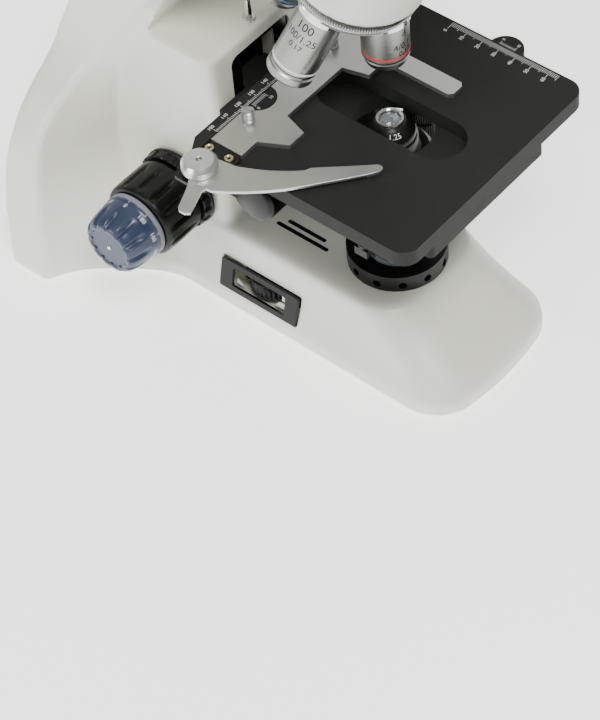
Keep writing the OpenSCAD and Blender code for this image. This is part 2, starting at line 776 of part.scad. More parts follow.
module objective(len, tip) {
  translate([0, 0, shoulder - 4]) difference() {
    union() {
      cylinder(h = 4, d = 20);
      translate([0, 0, 4]) cylinder(h = len - 9, d = obj_d);
      translate([0, 0, len - 5]) cylinder(h = 4.5, d1 = obj_d, d2 = max(tip + 2, obj_d - 8));
      translate([0, 0, len - 0.5]) cylinder(h = 4.5, d1 = max(tip + 1.5, obj_d - 9), d2 = tip);
    }
    translate([0, 0, -1]) cylinder(h = len - 2, d = 9);
    translate([0, 0, len - 4]) cylinder(h = 9, d = tip*0.45);
  }
}
module objective_4() {
  color(steel) on_place(0) objective(low_len, 15);
}
module objective_10() {
  color(steel) on_place(3) objective(37, 12);
}
module objective_40() {
  color(steel) on_place(2) objective(high_len - 0.6, 8);
}
module objective_100() {
  color(steel) on_place(1) objective(high_len, 7);
}

// ---------- head ----------
module head_dovetail() {
  color(steel) difference() {
    post(0, 0, head_z - 5.5, head_z + 3, dove_d);
    post(0, 0, head_z - 6, head_z + 4, 24);
  }
}

module head_body() {
  color(ivory) difference() {
    union() {
      hull() {
        post(0, 0, head_z + 0.4, head_z + 10, 70);
        on_head() translate([0, 4, -36]) cylinder(h = 12, d = 62);
      }
      hull() {
        on_head() translate([0, 4, -30]) cylinder(h = 8, d = 62);
        on_head() translate([0, 2, -6]) cylinder(h = 5.7, d = 58);
      }
    }
    box(-60, 60, -60, 90, head_z - 60, head_z + 0.4);
    post(0, 0, head_z - 1, head_z + 3, dove_d);
    post(0, 0, head_z - 1, head_z + 20, 24);
    on_head() translate([0, 0, -20]) cylinder(h = 40, d = 14);
  }
}

module head_screw() {
  color(steel) translate([0, 0, head_z - 3.2]) rotate([0, 0, -30]) {
    rod_x(dove_d/2 + 1, 37.6, 0, 0, 4, 4);
    rod_x(37.6, 46, 0, 0, 10, 10);
  }
}

module hinge_post() {
  color(steel) on_head() {
    translate([0, 0, -19.8]) cylinder(h = 49.4, d = 14);
    translate([0, 0, 29]) cylinder(h = 2.4, d = 24);
  }
}

module prism(s) {
  z0 = s < 0 ? 0 : 14.45;
  on_head() difference() {
    union() {
      translate([0, 0, z0]) cylinder(h = 14.15, r = 23);
      hull() {
        translate([s*tube_x, tube_y, 0]) cylinder(h = 28.6, r = 20);
        translate([s*tube_x*0.55, tube_y*0.55, 0]) cylinder(h = 28.6, r = 13);
      }
    }
    translate([0, 0, s < 0 ? 14.15 : -1]) cylinder(h = s < 0 ? 16 : 15.45, r = 23.3);
    cylinder(h = 80, d = 14 + 2*fit, center = true);
    translate([s*tube_x, tube_y, 6]) cylinder(h = 30, d = tube_d - 6);
  }
}
module prism_left() {
  color(ivory) prism(-1);
}
module prism_right() {
  color(ivory) prism(1);
}

module tube(s) {
  on_head() translate([s*tube_x, tube_y, 28.6]) difference() {
    cylinder(h = 20, d = tube_d);
    translate([0, 0, -1]) cylinder(h = 22, d = 23.2);
  }
}
module tube_left() {
  color(steel) tube(-1);
}
module tube_right() {
  color(steel) tube(1);
}

module dioptre_ring() {
  color(black) on_head() translate([-tube_x, tube_y, 34]) difference() {
    cylinder(h = 10, d = tube_d + 6);
    translate([0, 0, -1]) cylinder(h = 12, d = tube_d + 2*fit);
  }
}

module eyepiece(s) {
  on_head() translate([s*tube_x, tube_y, 34]) difference() {
    union() {
      cylinder(h = 15, d = 23.2);
      translate([0, 0, 14.6]) cylinder(h = 22, d1 = eye_d - 3, d2 = eye_d);
      translate([0, 0, 36.6]) cylinder(h = 6, d1 = eye_d, d2 = eye_d - 5);
    }
    translate([0, 0, -1]) cylinder(h = 33, d = 16);
    translate([0, 0, 36.6]) cylinder(h = 7, d = 22);
  }
}
module eyepiece_left() {
  color(black) eyepiece(-1);
}
module eyepiece_right() {
  color(black) eyepiece(1);
}
// ---------- assembly ----------
base_shell();
bottom_plate();
rubber_feet();
base_screws();
rear_housing();
side_fairing();
column();
slot_liner();
arm();
nose_housing();
lamp_collar();
field_lens();
lamp_socket();
dimmer_bezel();
dimmer_wheel();
power_inlet();
fuse_drawer();
rocker_switch();
limit_screw();
torque_ring();
coarse_drive();
coarse_knobs();
fine_shaft();
fine_knobs();
stage_bracket();
lower_plate();
vernier_tab();
top_plate();
guide_bar();
holder_plate();
hinge_plate();
clip_screws();
thumb_screws();
spring_finger();
pivot_cap();
stage_drive_y();
stage_drive_x();
condenser_carrier();
condenser_body();
condenser_lens();
iris_ring();
filter_tray();
condenser_knob();
turret();
turret_ring();
objective_4();
objective_10();
objective_40();
objective_100();
head_dovetail();
head_body();
head_screw();
hinge_post();
prism_left();
prism_right();
tube_left();
tube_right();
dioptre_ring();
eyepiece_left();
eyepiece_right();
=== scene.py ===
import math
import bpy
import bmesh
import numpy as np
from mathutils import Matrix, Vector


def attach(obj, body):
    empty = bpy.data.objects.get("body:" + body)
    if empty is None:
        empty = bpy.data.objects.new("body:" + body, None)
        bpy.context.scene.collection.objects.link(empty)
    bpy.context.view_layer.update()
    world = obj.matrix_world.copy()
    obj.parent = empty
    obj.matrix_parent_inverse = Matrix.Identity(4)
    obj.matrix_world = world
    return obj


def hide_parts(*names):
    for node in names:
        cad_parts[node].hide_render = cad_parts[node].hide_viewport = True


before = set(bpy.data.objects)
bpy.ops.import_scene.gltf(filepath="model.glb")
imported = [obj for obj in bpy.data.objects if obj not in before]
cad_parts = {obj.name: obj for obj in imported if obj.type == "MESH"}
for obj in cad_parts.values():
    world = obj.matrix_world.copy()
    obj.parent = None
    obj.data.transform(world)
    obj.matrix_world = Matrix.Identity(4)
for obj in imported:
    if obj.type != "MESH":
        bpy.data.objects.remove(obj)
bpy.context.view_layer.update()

MM = 0.001
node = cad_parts

# Sizes shared by several pieces, in millimetres
STAGE_TOP = 148.0
FOCUS_Y, FOCUS_Z = 109.7, 65.5
APEX_Z = 270.5
TILT_DEGREES = 20.3
TURRET_TILT = math.radians(TILT_DEGREES)
SHOULDER = 59.5
HEAD_Z = 300.5
HINGE_Y, HINGE_Z = -20.0, 338.5
TUBE_X = 32.0
TUBE_REACH = 37.5
TUBE_Y = -math.sqrt(TUBE_REACH ** 2 - TUBE_X ** 2)

# ------------------------------------------------------------------
# placing
# ------------------------------------------------------------------


def shift(x, y, z):
    return Matrix.Translation((x, y, z))


def turn(degrees, axis):
    return Matrix.Rotation(math.radians(degrees), 4, axis)


# Z of each frame runs along the piece it is named for, and into the wall on the dimmer window
ON_TURRET = shift(0, 0, APEX_Z) @ turn(180 + TILT_DEGREES, "X")
ON_HEAD = shift(0, HINGE_Y, HINGE_Z) @ turn(60, "X")
ON_DIMMER = shift(-46.9, 57.5, 12.8) @ turn(14, "Y") @ turn(90, "Z") @ turn(90, "X")


def on_place(k):
    return ON_TURRET @ turn(90 * k, "Z") @ turn(-TILT_DEGREES, "X")


def along_x(x, y, z, side):
    """A frame whose Z points to +X or -X."""
    return shift(x, y, z) @ turn(90 * side, "Y")


# ------------------------------------------------------------------
# meshes
# ------------------------------------------------------------------


def make(name, points, faces, finish, body, place=None, sharp=38):
    """A mesh piece from points in millimetres, riding on a body."""
    mesh = bpy.data.meshes.new(name)
    spot = place or Matrix.Identity(4)
    mesh.from_pydata([tuple((spot @ Vector(p)) * MM) for p in points], [], faces)
    mesh.validate()
    bm = bmesh.new()
    bm.from_mesh(mesh)
    bmesh.ops.recalc_face_normals(bm, faces=bm.faces)
    bm.to_mesh(mesh)
    bm.free()
    return wrap(name, mesh, finish, body, sharp)


def wrap(name, mesh, finish, body, sharp=38):
    for p in mesh.polygons:
        p.use_smooth = True
    mesh.set_sharp_from_angle(angle=math.radians(sharp))
    piece = bpy.data.objects.new(name, mesh)
    bpy.context.scene.collection.objects.link(piece)
    for f in (finish if isinstance(finish, (list, tuple)) else [finish]):
        mesh.materials.append(f)
    if body:
        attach(piece, body)
    return piece


def lathe(name, outline, finish, body, place=None, steps=96, ripple=None, sharp=38):
    """A turned piece: outline is (radius, height), ripple(angle, radius, height) changes the radius."""
    points, faces = [], []
    ring = []
    for r, h in outline:
        if r < 1e-6:
            ring.append([len(points)])
            points.append((0, 0, h))
            continue
        row = []
        for i in range(steps):
            a = 2 * math.pi * i / steps
            rr = ripple(a, r, h) if ripple else r
            row.append(len(points))
            points.append((rr * math.cos(a), rr * math.sin(a), h))
        ring.append(row)
    for a, b in zip(ring, ring[1:]):
        for i in range(steps):
            j = (i + 1) % steps
            q = [a[i % len(a)], a[j % len(a)], b[j % len(b)], b[i % len(b)]]
            q = [v for k, v in enumerate(q) if v not in q[:k]]
            if len(q) > 2:
                faces.append(q)
    if len(ring[0]) > 1 and outline[0] != outline[-1]:
        faces.append(list(reversed(ring[0])))
    if len(ring[-1]) > 1 and outline[0] != outline[-1]:
        faces.append(ring[-1])
    return make(name, points, faces, finish, body, place, sharp)


def slab(name, outline, low, high, finish, body, place=None, edge=0.4, sharp=38):
    """A flat plate with softened edges, outline is a list of (x, y)."""
    n = len(outline)
    points = [(x, y, low) for x, y in outline] + [(x, y, high) for x, y in outline]
    faces = [list(reversed(range(n))), list(range(n, 2 * n))]
    faces += [[i, (i + 1) % n, n + (i + 1) % n, n + i] for i in range(n)]
    piece = make(name, points, faces, finish, body, place, sharp)
    if edge:
        soften(piece, edge)
    return piece


def soften(piece, width, segments=2, angle=35):
    b = piece.modifiers.new("soft edges", "BEVEL")
    b.width = width * MM
    b.segments = segments
    b.limit_method = "ANGLE"
    b.angle_limit = math.radians(angle)
    b.harden_normals = True
    return piece


def rounded(x0, x1, y0, y1, r, steps=6):
    """Corner-rounded rectangle as a list of points."""
    out = []
    for cx, cy, a in ((x1 - r, y1 - r, 0), (x0 + r, y1 - r, 90), (x0 + r, y0 + r, 180),
            (x1 - r, y0 + r, 270)):
        for i in range(steps + 1):
            t = math.radians(a + 90 * i / steps)
            out.append((cx + r * math.cos(t), cy + r * math.sin(t)))
    return out


# ------------------------------------------------------------------
# shared surface effects
# ------------------------------------------------------------------


def new_group(name, inputs, outputs):
    group = bpy.data.node_groups.new(name, "ShaderNodeTree")
    for label, kind, value in inputs:
        s = group.interface.new_socket(name=label, in_out="INPUT", socket_type=kind)
        if value is not None:
            s.default_value = value
    for label, kind in outputs:
        group.interface.new_socket(name=label, in_out="OUTPUT", socket_type=kind)
    return group, group.nodes.new("NodeGroupInput"), group.nodes.new("NodeGroupOutput")


def make_fine_grain():
    """Soft unevenness of a coated surface: a slow drift, and a fine pebble as its height."""
    g, a, b = new_group(
        "fine grain",
        [("Pebble", "NodeSocketFloat", 900.0), ("Drift", "NodeSocketFloat", 14.0)],
        [("Drift", "NodeSocketFloat"), ("Height", "NodeSocketFloat")])
    where = g.nodes.new("ShaderNodeTexCoord")
    fine = g.nodes.new("ShaderNodeTexNoise")
    fine.inputs["Detail"].default_value = 3
    slow = g.nodes.new("ShaderNodeTexNoise")
    slow.inputs["Detail"].default_value = 4
    g.links.new(where.outputs["Object"], fine.inputs["Vector"])
    g.links.new(where.outputs["Object"], slow.inputs["Vector"])
    g.links.new(a.outputs["Pebble"], fine.inputs["Scale"])
    g.links.new(a.outputs["Drift"], slow.inputs["Scale"])
    g.links.new(slow.outputs["Fac"], b.inputs["Drift"])
    g.links.new(fine.outputs["Fac"], b.inputs["Height"])
    return g


def make_tool_lines():
    """Fine lines left by a tool, stretched along one axis of the piece."""
    g, a, b = new_group(
        "tool lines",
        [("Stretch", "NodeSocketVector", (1.0, 1.0, 1.0)), ("Pitch", "NodeSocketFloat", 400.0)],
        [("Lines", "NodeSocketFloat"), ("Height", "NodeSocketFloat")])
    where = g.nodes.new("ShaderNodeTexCoord")
    pull = g.nodes.new("ShaderNodeVectorMath")
    pull.operation = "MULTIPLY"
    fine = g.nodes.new("ShaderNodeTexNoise")
    fine.inputs["Detail"].default_value = 6
    fine.inputs["Roughness"].default_value = 0.65
    g.links.new(where.outputs["Object"], pull.inputs[0])
    g.links.new(a.outputs["Stretch"], pull.inputs[1])
    g.links.new(pull.outputs["Vector"], fine.inputs["Vector"])
    g.links.new(a.outputs["Pitch"], fine.inputs["Scale"])
    g.links.new(fine.outputs["Fac"], b.inputs["Lines"])
    g.links.new(fine.outputs["Fac"], b.inputs["Height"])
    return g


def make_handling():
    """Where hands and cloths have dulled or polished a surface, from 0 to 1."""
    g, a, b = new_group("handling marks", [("Size", "NodeSocketFloat", 30.0)], [("Mask", "NodeSocketFloat")])
    where = g.nodes.new("ShaderNodeTexCoord")
    blot = g.nodes.new("ShaderNodeTexNoise")
    blot.inputs["Detail"].default_value = 8
    blot.inputs["Roughness"].default_value = 0.7
    blot.inputs["Distortion"].default_value = 0.6
    pick = g.nodes.new("ShaderNodeMapRange")
    pick.inputs["From Min"].default_value = 0.42
    pick.inputs["From Max"].default_value = 0.68
    g.links.new(where.outputs["Object"], blot.inputs["Vector"])
    g.links.new(a.outputs["Size"], blot.inputs["Scale"])
    g.links.new(blot.outputs["Fac"], pick.inputs["Value"])
    g.links.new(pick.outputs["Result"], b.inputs["Mask"])
    return g


FINE_GRAIN = make_fine_grain()
TOOL_LINES = make_tool_lines()
HANDLING = make_handling()


def grouped(tree, group, **values):
    n = tree.nodes.new("ShaderNodeGroup")
    n.node_tree = group
    for k, v in values.items():
        n.inputs[k].default_value = v
    return n


def spread(tree, source, low, high):
    """A value between 0 and 1 mapped to low and high."""
    m = tree.nodes.new("ShaderNodeMapRange")
    m.inputs["From Min"].default_value = 0.3
    m.inputs["From Max"].default_value = 0.7
    m.inputs["To Min"].default_value = low
    m.inputs["To Max"].default_value = high
    tree.links.new(source, m.inputs["Value"])
    return m.outputs["Result"]


def two_tone(tree, source, one, two):
    m = tree.nodes.new("ShaderNodeMix")
    m.data_type = "RGBA"
    m.inputs["A"].default_value = (*one, 1)
    m.inputs["B"].default_value = (*two, 1)
    tree.links.new(source, m.inputs["Factor"])
    return m.outputs["Result"]


def begin(name):
    m = bpy.data.materials.new(name)
    m.use_nodes = True
    return m, m.node_tree, m.node_tree.nodes["Principled BSDF"]


def bumped(tree, shader, height, distance, strength=1.0):
    b = tree.nodes.new("ShaderNodeBump")
    b.inputs["Strength"].default_value = strength
    b.inputs["Distance"].default_value = distance * MM
    tree.links.new(height, b.inputs["Height"])
    tree.links.new(b.outputs["Normal"], shader.inputs["Normal"])


def coated(name, one, two, rough, pebble=900.0, drift=14.0, relief=0.02, coat=0.0, marks=0.04, metal=0.0,
shine=0.5):
    """Paint, plastic or rubber: a colour that drifts a little, a pebble relief and handled patches."""
    m, t, s = begin(name)
    grain = grouped(t, FINE_GRAIN, Pebble=pebble, Drift=drift)
    hands = grouped(t, HANDLING, Size=drift * 2.3)
    t.links.new(two_tone(t, grain.outputs["Drift"], one, two), s.inputs["Base Color"])
    t.links.new(spread(t, hands.outputs["Mask"], rough, rough + marks), s.inputs["Roughness"])
    bumped(t, s, grain.outputs["Height"], relief)
    s.inputs["Metallic"].default_value = metal
    s.inputs["Specular IOR Level"].default_value = shine
    s.inputs["Coat Weight"].default_value = coat
    s.inputs["Coat Roughness"].default_value = 0.12
    return m


def machined(name, one, two, rough, stretch=(1, 1, 1), pitch=400.0, relief=0.01, spread_by=0.1, aniso=0.0):
    """Metal with tool lines along one direction."""
    m, t, s = begin(name)
    lines = grouped(t, TOOL_LINES, Stretch=stretch, Pitch=pitch)
    t.links.new(two_tone(t, lines.outputs["Lines"], one, two), s.inputs["Base Color"])
    t.links.new(spread(t, lines.outputs["Lines"], rough, rough + spread_by), s.inputs["Roughness"])
    bumped(t, s, lines.outputs["Height"], relief)
    s.inputs["Metallic"].default_value = 1.0
    s.inputs["Anisotropic"].default_value = aniso
    return m


def clear_glass(name, tint, rough=0.02):
    m, t, s = begin(name)
    grain = grouped(t, FINE_GRAIN, Pebble=60.0, Drift=20.0)
    t.links.new(two_tone(t, grain.outputs["Drift"], tint, tuple(c * 0.96 for c in tint)),
            s.inputs["Base Color"])
    s.inputs["Roughness"].default_value = rough
    s.inputs["Transmission Weight"].default_value = 0.85
    s.inputs["IOR"].default_value = 1.5
    s.inputs["Coat Weight"].default_value = 0.6
    return m


IVORY = coated("ivory paint", (0.70, 0.705, 0.60), (0.735, 0.735, 0.635), 0.34, pebble=1400, drift=9,
relief=0.012, coat=0.12)
CHARCOAL = coated("charcoal stage coat", (0.017, 0.018, 0.016), (0.022, 0.023, 0.021), 0.52, pebble=2600,
        drift=30, relief=0.02, shine=0.1)
BLACK_COAT = coated("black hard coat", (0.004, 0.004, 0.004), (0.007, 0.007, 0.006), 0.36, pebble=2400,
        drift=40, relief=0.015, shine=0.3)
BLACK_PLASTIC = coated("black moulded plastic", (0.003, 0.003, 0.003), (0.005, 0.005, 0.005), 0.34,
        pebble=1800, drift=35, relief=0.012, shine=0.22)
GLOSS_BLACK = coated("gloss black", (0.002, 0.002, 0.002), (0.004, 0.004, 0.004), 0.20, pebble=700,
        drift=20, relief=0.003, coat=0.03, shine=0.25)
SLATE = coated("slate blue plastic", (0.021, 0.033, 0.070), (0.026, 0.038, 0.080), 0.32, pebble=1500,
        drift=25, relief=0.008, coat=0.12, shine=0.4)
RUBBER = coated("soft rubber", (0.015, 0.015, 0.015), (0.026, 0.026, 0.025), 0.62, pebble=1300, drift=30,
        relief=0.03)
SATIN = machined("satin silver", (0.50, 0.51, 0.48), (0.60, 0.61, 0.58), 0.38, stretch=(0.25, 6, 6),
        pitch=320, relief=0.006)
STEEL = machined("turned steel", (0.50, 0.50, 0.50), (0.62, 0.62, 0.61), 0.24, stretch=(1, 1, 14),
        pitch=300, relief=0.006)
CHROME = machined("polished chrome", (0.70, 0.70, 0.70), (0.78, 0.78, 0.78), 0.10, stretch=(1, 1, 8),
        pitch=260, relief=0.002, spread_by=0.06)
BRASS = machined("plated brass", (0.60, 0.50, 0.32), (0.72, 0.60, 0.40), 0.28, pitch=500, relief=0.004)
GLASS = clear_glass("lens glass", (0.75, 0.86, 0.90))
DARK_GLASS = clear_glass("coated lens", (0.30, 0.25, 0.45), 0.03)
PRINT = coated("white print", (0.72, 0.73, 0.70), (0.80, 0.80, 0.77), 0.5, pebble=1500, drift=60,
        relief=0.004)
PRINT_BLACK = coated("black print", (0.008, 0.008, 0.008), (0.012, 0.012, 0.012), 0.6, pebble=1500,
        drift=60, relief=0.004, shine=0.1)


def coloured(name, c):
    return coated(name, c, tuple(v * 0.88 for v in c), 0.35, pebble=1500, drift=60, relief=0.004)


RED = coloured("red ring enamel", (0.55, 0.03, 0.02))
YELLOW = coloured("yellow ring enamel", (0.75, 0.50, 0.03))
BLUE = coloured("blue ring enamel", (0.05, 0.25, 0.62))
PALE = coloured("white ring enamel", (0.75, 0.75, 0.72))


# ------------------------------------------------------------------
# the cast stand, one skin blended from its masses
# ------------------------------------------------------------------


def ease_min(a, b, k):
    h = np.clip(0.5 + 0.5 * (b - a) / k, 0, 1)
    return b * (1 - h) + a * h - k * h * (1 - h)


def ease_max(a, b, k):
    return -ease_min(-a, -b, k)


def curve(values, soft=0.0):
    """A smooth function through (height, value) pairs."""
    h = np.array([v[0] for v in values], float)
    w = np.array([v[1] for v in values], float)
    grid = np.arange(h[0] - 20, h[-1] + 20, 0.5)
    y = np.interp(grid, h, w)
    if soft:
        reach = int(soft * 6)
        k = np.exp(-0.5 * (np.arange(-reach, reach + 1) * 0.5 / soft) ** 2)
        y = np.convolve(np.pad(y, reach, mode="edge"), k / k.sum(), mode="valid")
    return lambda z: np.interp(z, grid, y)


def outline_distance(points):
    """Signed distance in a plane to a closed outline."""
    p = np.array(points, float)
    q = np.roll(p, -1, axis=0)

    def f(a, b):
        best = np.full(a.shape, 1e9)
        inside = np.zeros(a.shape, bool)
        for (ax, ay), (bx, by) in zip(p, q):
            ex, ey = bx - ax, by - ay
            wx, wy = a - ax, b - ay
            t = np.clip((wx * ex + wy * ey) / (ex * ex + ey * ey), 0, 1)
            best = np.minimum(best, np.hypot(wx - t * ex, wy - t * ey))
            crosses = ((ay > b) != (by > b)) & (a < (bx - ax) * (b - ay) / (by - ay + 1e-12) + ax)
            inside ^= crosses
        return np.where(inside, -best, best)
    return f


nose_half = curve([(-10, 48.4), (10, 48.4), (12, 47.4), (16, 45.4), (22, 43.0), (30, 41.0), (40, 39.6),
(48, 38.6)], 0.8)
nose_reach = curve([(-10, 70), (10, 69.8), (12, 68.2), (16, 65), (22, 58), (30, 47), (38, 37), (48, 27)], 1.2)
wing_half = curve([(-10, 94.6), (11, 94.6), (45, 94), (70, 92), (86, 88.6), (97, 84.5), (107, 78),
        (115, 70.5), (121, 63),
                   (126, 57), (131, 52), (137, 48), (150, 44), (165, 41.5), (180, 39.6), (200, 37.8),
                   (225, 36), (300, 36)], 3.5)
pillar_rear = curve([(-10, 112), (8, 112.5), (20, 122), (30, 134), (42, 145), (54, 150), (78, 152),
        (102, 150), (121, 144),
                     (135, 138.5), (150, 131.5), (162, 124), (174, 117.5), (190, 110), (205, 99), (220, 84),
                     (235, 60), (250, 20), (262, -60)], 2.5)
wing_front = curve([(-10, 165), (95, 164.2), (110, 162.5), (122, 159), (135, 153), (146, 146.5), (158, 138),
        (170, 129), (185, 117), (200, 103.5),
                    (220, 84), (235, 60), (250, 20), (262, -60)], 3)
flare_from = curve([(-10, 48.4), (11, 48), (20, 43.8), (30, 41), (45, 38.8), (60, 38.5), (150, 38.5),
        (170, 36), (190, 33), (300, 30)], 1.0)
side_shape = outline_distance([
    (190, -40), (190, 11), (188.6, 40), (185.4, 70), (181.6, 95), (179.4, 118), (176.3, 140), (168.6, 162),
    (158, 184), (145, 206), (129, 228),
    (110, 247), (87, 262.5), (62, 274), (36, 282.5), (0, 287), (0, 246), (40, 245.5), (60, 236), (76, 223),
    (92, 206), (100, 190), (100, -40)])


def stand_skin(x, y, z):
    """Below zero inside the casting."""
    X = np.abs(x)
    # nose of the base
    bow = 7.0 * (X / 48.5) ** 2
    w, f = nose_half(z), nose_reach(z) - bow
    rc = 19.0
    qx, qy = X - (w - rc), -y - (f - rc)
    nose = np.hypot(np.maximum(qx, 0), np.maximum(qy, 0)) + np.minimum(np.maximum(qx, qy), 0) - rc
    nose = ease_max(nose * 0.86, z - 48, 3.5)
    nose = np.maximum(nose, y - 125)
    # pillar with the focus drive
    a, b = X - (38.5 - 7), 82 + 7 - y
    pillar = np.hypot(np.maximum(a, 0), np.maximum(b, 0)) + np.minimum(np.maximum(a, b), 0) - 7
    pillar = ease_max(pillar, z - 162, 3)
    pillar = ease_max(pillar, y - pillar_rear(z) - 4, 9)
    # wings and arm as one mass, with the hollow in front of it
    half = wing_half(z)
    rise = np.maximum(half - flare_from(z), 4)
    u = np.clip((X - flare_from(z)) / rise, 0, 1)
    t = 1 - (1 - u) ** 1.7
    depth = wing_front(z) - pillar_rear(z)
    front = pillar_rear(z) + depth * t
    slope = depth * 1.7 * (1 - u) ** 0.7 / rise
    back = side_shape(y + 1.2 * (X / 95) ** 2, z) - 5
    body = ease_max(X - half, back, 7)
    body = ease_max(body * 0.85, (front - y) / np.sqrt(1 + slope ** 2), 4.2)
    # seat of the turret and head
    s, c = math.sin(TURRET_TILT), math.cos(TURRET_TILT)
    r = np.hypot(X, y)
    seat = ease_max(r - 36.8, np.abs(z - 279.5) - 20.9, 2.5)
    along = y * s - (z - APEX_Z) * c
    across = np.hypot(X, y * c + (z - APEX_Z) * s)
    cup = ease_max(across - 33.4, np.abs(along - 24.7) - 14.7, 2.0)
    seat = ease_min(seat, cup, 9)
    body = ease_min(body, seat, 12)
    # joined masses
    out = ease_min(body, pillar, 2.5)
    out = ease_min(out, nose, 5)
    return out


def skin_mesh(field, low, high, step, lift=4):
    """Dual mesh of the zero surface, with its points then drawn onto it."""
    axes = [np.arange(low[i], high[i] + step, step) for i in range(3)]
    g = np.meshgrid(*axes, indexing="ij")
    v = field(*g)
    n = v.shape
    cells = tuple(k - 1 for k in n)
    total = np.zeros((*cells, 3))
    count = np.zeros(cells)
    corner = [(i, j, k) for i in (0, 1) for j in (0, 1) for k in (0, 1)]

    def part(c):
        return tuple(slice(c[i], c[i] + cells[i]) for i in range(3))
    for a in corner:
        for ax in range(3):
            if a[ax]:
                continue
            b = tuple(a[i] + (i == ax) for i in range(3))
            va, vb = v[part(a)], v[part(b)]
            hit = (va < 0) != (vb < 0)
            t = np.where(hit, va / np.where(hit, va - vb, 1), 0)
            for i in range(3):
                total[..., i] += np.where(hit, a[i] + (t if i == ax else 0), 0)
            count += hit
    live = count > 0
    number = np.full(cells, -1)
    number[live] = np.arange(live.sum())
    where = np.argwhere(live)
    points = where + total[live] / count[live][:, None]
    points = np.array(low) + points * step
    faces = []
    for ax in range(3):
        p, q = [i for i in range(3) if i != ax]
        first = [slice(1, n[i] - 1) for i in range(3)]
        first[ax] = slice(0, n[ax] - 1)
        second = list(first)
        second[ax] = slice(1, n[ax])
        va, vb = v[tuple(first)], v[tuple(second)]
        hit = np.argwhere((va < 0) != (vb < 0))
        flip = (va < 0)[tuple(hit.T)]
        base = hit + np.array([first[i].start for i in range(3)])

        def at(dp, dq):
            c = base.copy()
            c[:, p] += dp
            c[:, q] += dq
            return number[tuple(c.T)]
        quad = np.stack([at(-1, -1), at(0, -1), at(0, 0), at(-1, 0)], 1)
        if ax == 1:
            flip = ~flip
        quad[~flip] = quad[~flip][:, ::-1]
        faces.append(quad)
    faces = np.concatenate(faces)
    h = 0.2
    for _ in range(lift):
        f = field(*points.T)
        grad = np.stack([(field(*(points + h * e).T) - field(*(points - h * e).T)) / (2 * h)
                for e in np.eye(3)], 1)
        size = np.maximum((grad ** 2).sum(1), 0.15)
        move = -(f / size)[:, None] * grad
        far = np.linalg.norm(move, axis=1)
        move *= np.minimum(1, 1.5 / np.maximum(far, 1e-9))[:, None]
        points = points + move
    return points, faces


def carve(piece, cutter):
    """Cuts a closed cutter out of a piece for good."""
    m = piece.modifiers.new("cut", "BOOLEAN")
    m.object = cutter
    m.operation = "DIFFERENCE"
    m.solver = "EXACT"
    dg = bpy.context.evaluated_depsgraph_get()
    mesh = bpy.data.meshes.new_from_object(piece.evaluated_get(dg))
    piece.modifiers.remove(m)
    old = piece.data
    piece.data = mesh
    bpy.data.meshes.remove(old)
    bpy.data.objects.remove(cutter)


def cutter(outline, low, high, place):
    n = len(outline)
    points = [(x, y, low) for x, y in outline] + [(x, y, high) for x, y in outline]
    faces = [list(reversed(range(n))), list(range(n, 2 * n))] + [[i, (i + 1) % n, n + (i + 1) % n, n + i]
            for i in range(n)]
    return make("cutter", points, faces, IVORY, None, place)


def cast_stand():
    step = 2.2
    points, faces = skin_mesh(stand_skin, (-101, -76, -11), (101, 203, 306), step)
    mesh = bpy.data.meshes.new("cast_stand")
    mesh.from_pydata((points * MM).tolist(), [], faces.tolist())
    bm = bmesh.new()
    bm.from_mesh(mesh)
    cut = bmesh.ops.bisect_plane(bm, geom=bm.verts[:] + bm.edges[:] + bm.faces[:], dist=1e-6,
                                 plane_co=(0, 0, 3.1 * MM), plane_no=(0, 0, 1), clear_inner=True)
    bmesh.ops.contextual_create(bm, geom=[e for e in cut["geom_cut"] if isinstance(e, bmesh.types.BMEdge)])
    bmesh.ops.recalc_face_normals(bm, faces=bm.faces)
    bm.to_mesh(mesh)
    bm.free()
    piece = wrap("cast_stand", mesh, IVORY, "stand", 50)
    front = turn(90, "X")
    carve(piece, cutter(rounded(-22, 22, 50, 154, 5), -87, -70, front))
    carve(piece, cutter(rounded(-14, 14, 52, 151, 3), -95, -80, front))
    carve(piece, cutter(rounded(-26.5, 26.5, -0.5, 18.5, 1.2), -8, 16,
                        ON_DIMMER))
    back = turn(90, "X")
    carve(piece, cutter(rounded(14, 44, 25, 47, 1.5), -198, -172, back))
    carve(piece, cutter(rounded(-64, -47, 28, 44, 1.5), -198, -172, back))
    carve(piece, cutter(rounded(-40, -14, 28, 44, 1.5), -198, -172, back))
    for p in piece.data.polygons:
        p.use_smooth = True
    piece.data.set_sharp_from_angle(angle=math.radians(40))
    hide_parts("base_shell", "rear_housing", "side_fairing", "column", "arm", "nose_housing")
    return piece


cast_stand()


# ------------------------------------------------------------------
# finishes of the machined and moulded pieces kept from the frame
# ------------------------------------------------------------------


def finish(names, material, edge=0.35, segments=2):
    for n in names.split():
        o = node[n]
        o.data.materials.clear()
        o.data.materials.append(material)
        if edge:
            soften(o, edge, segments, 30)


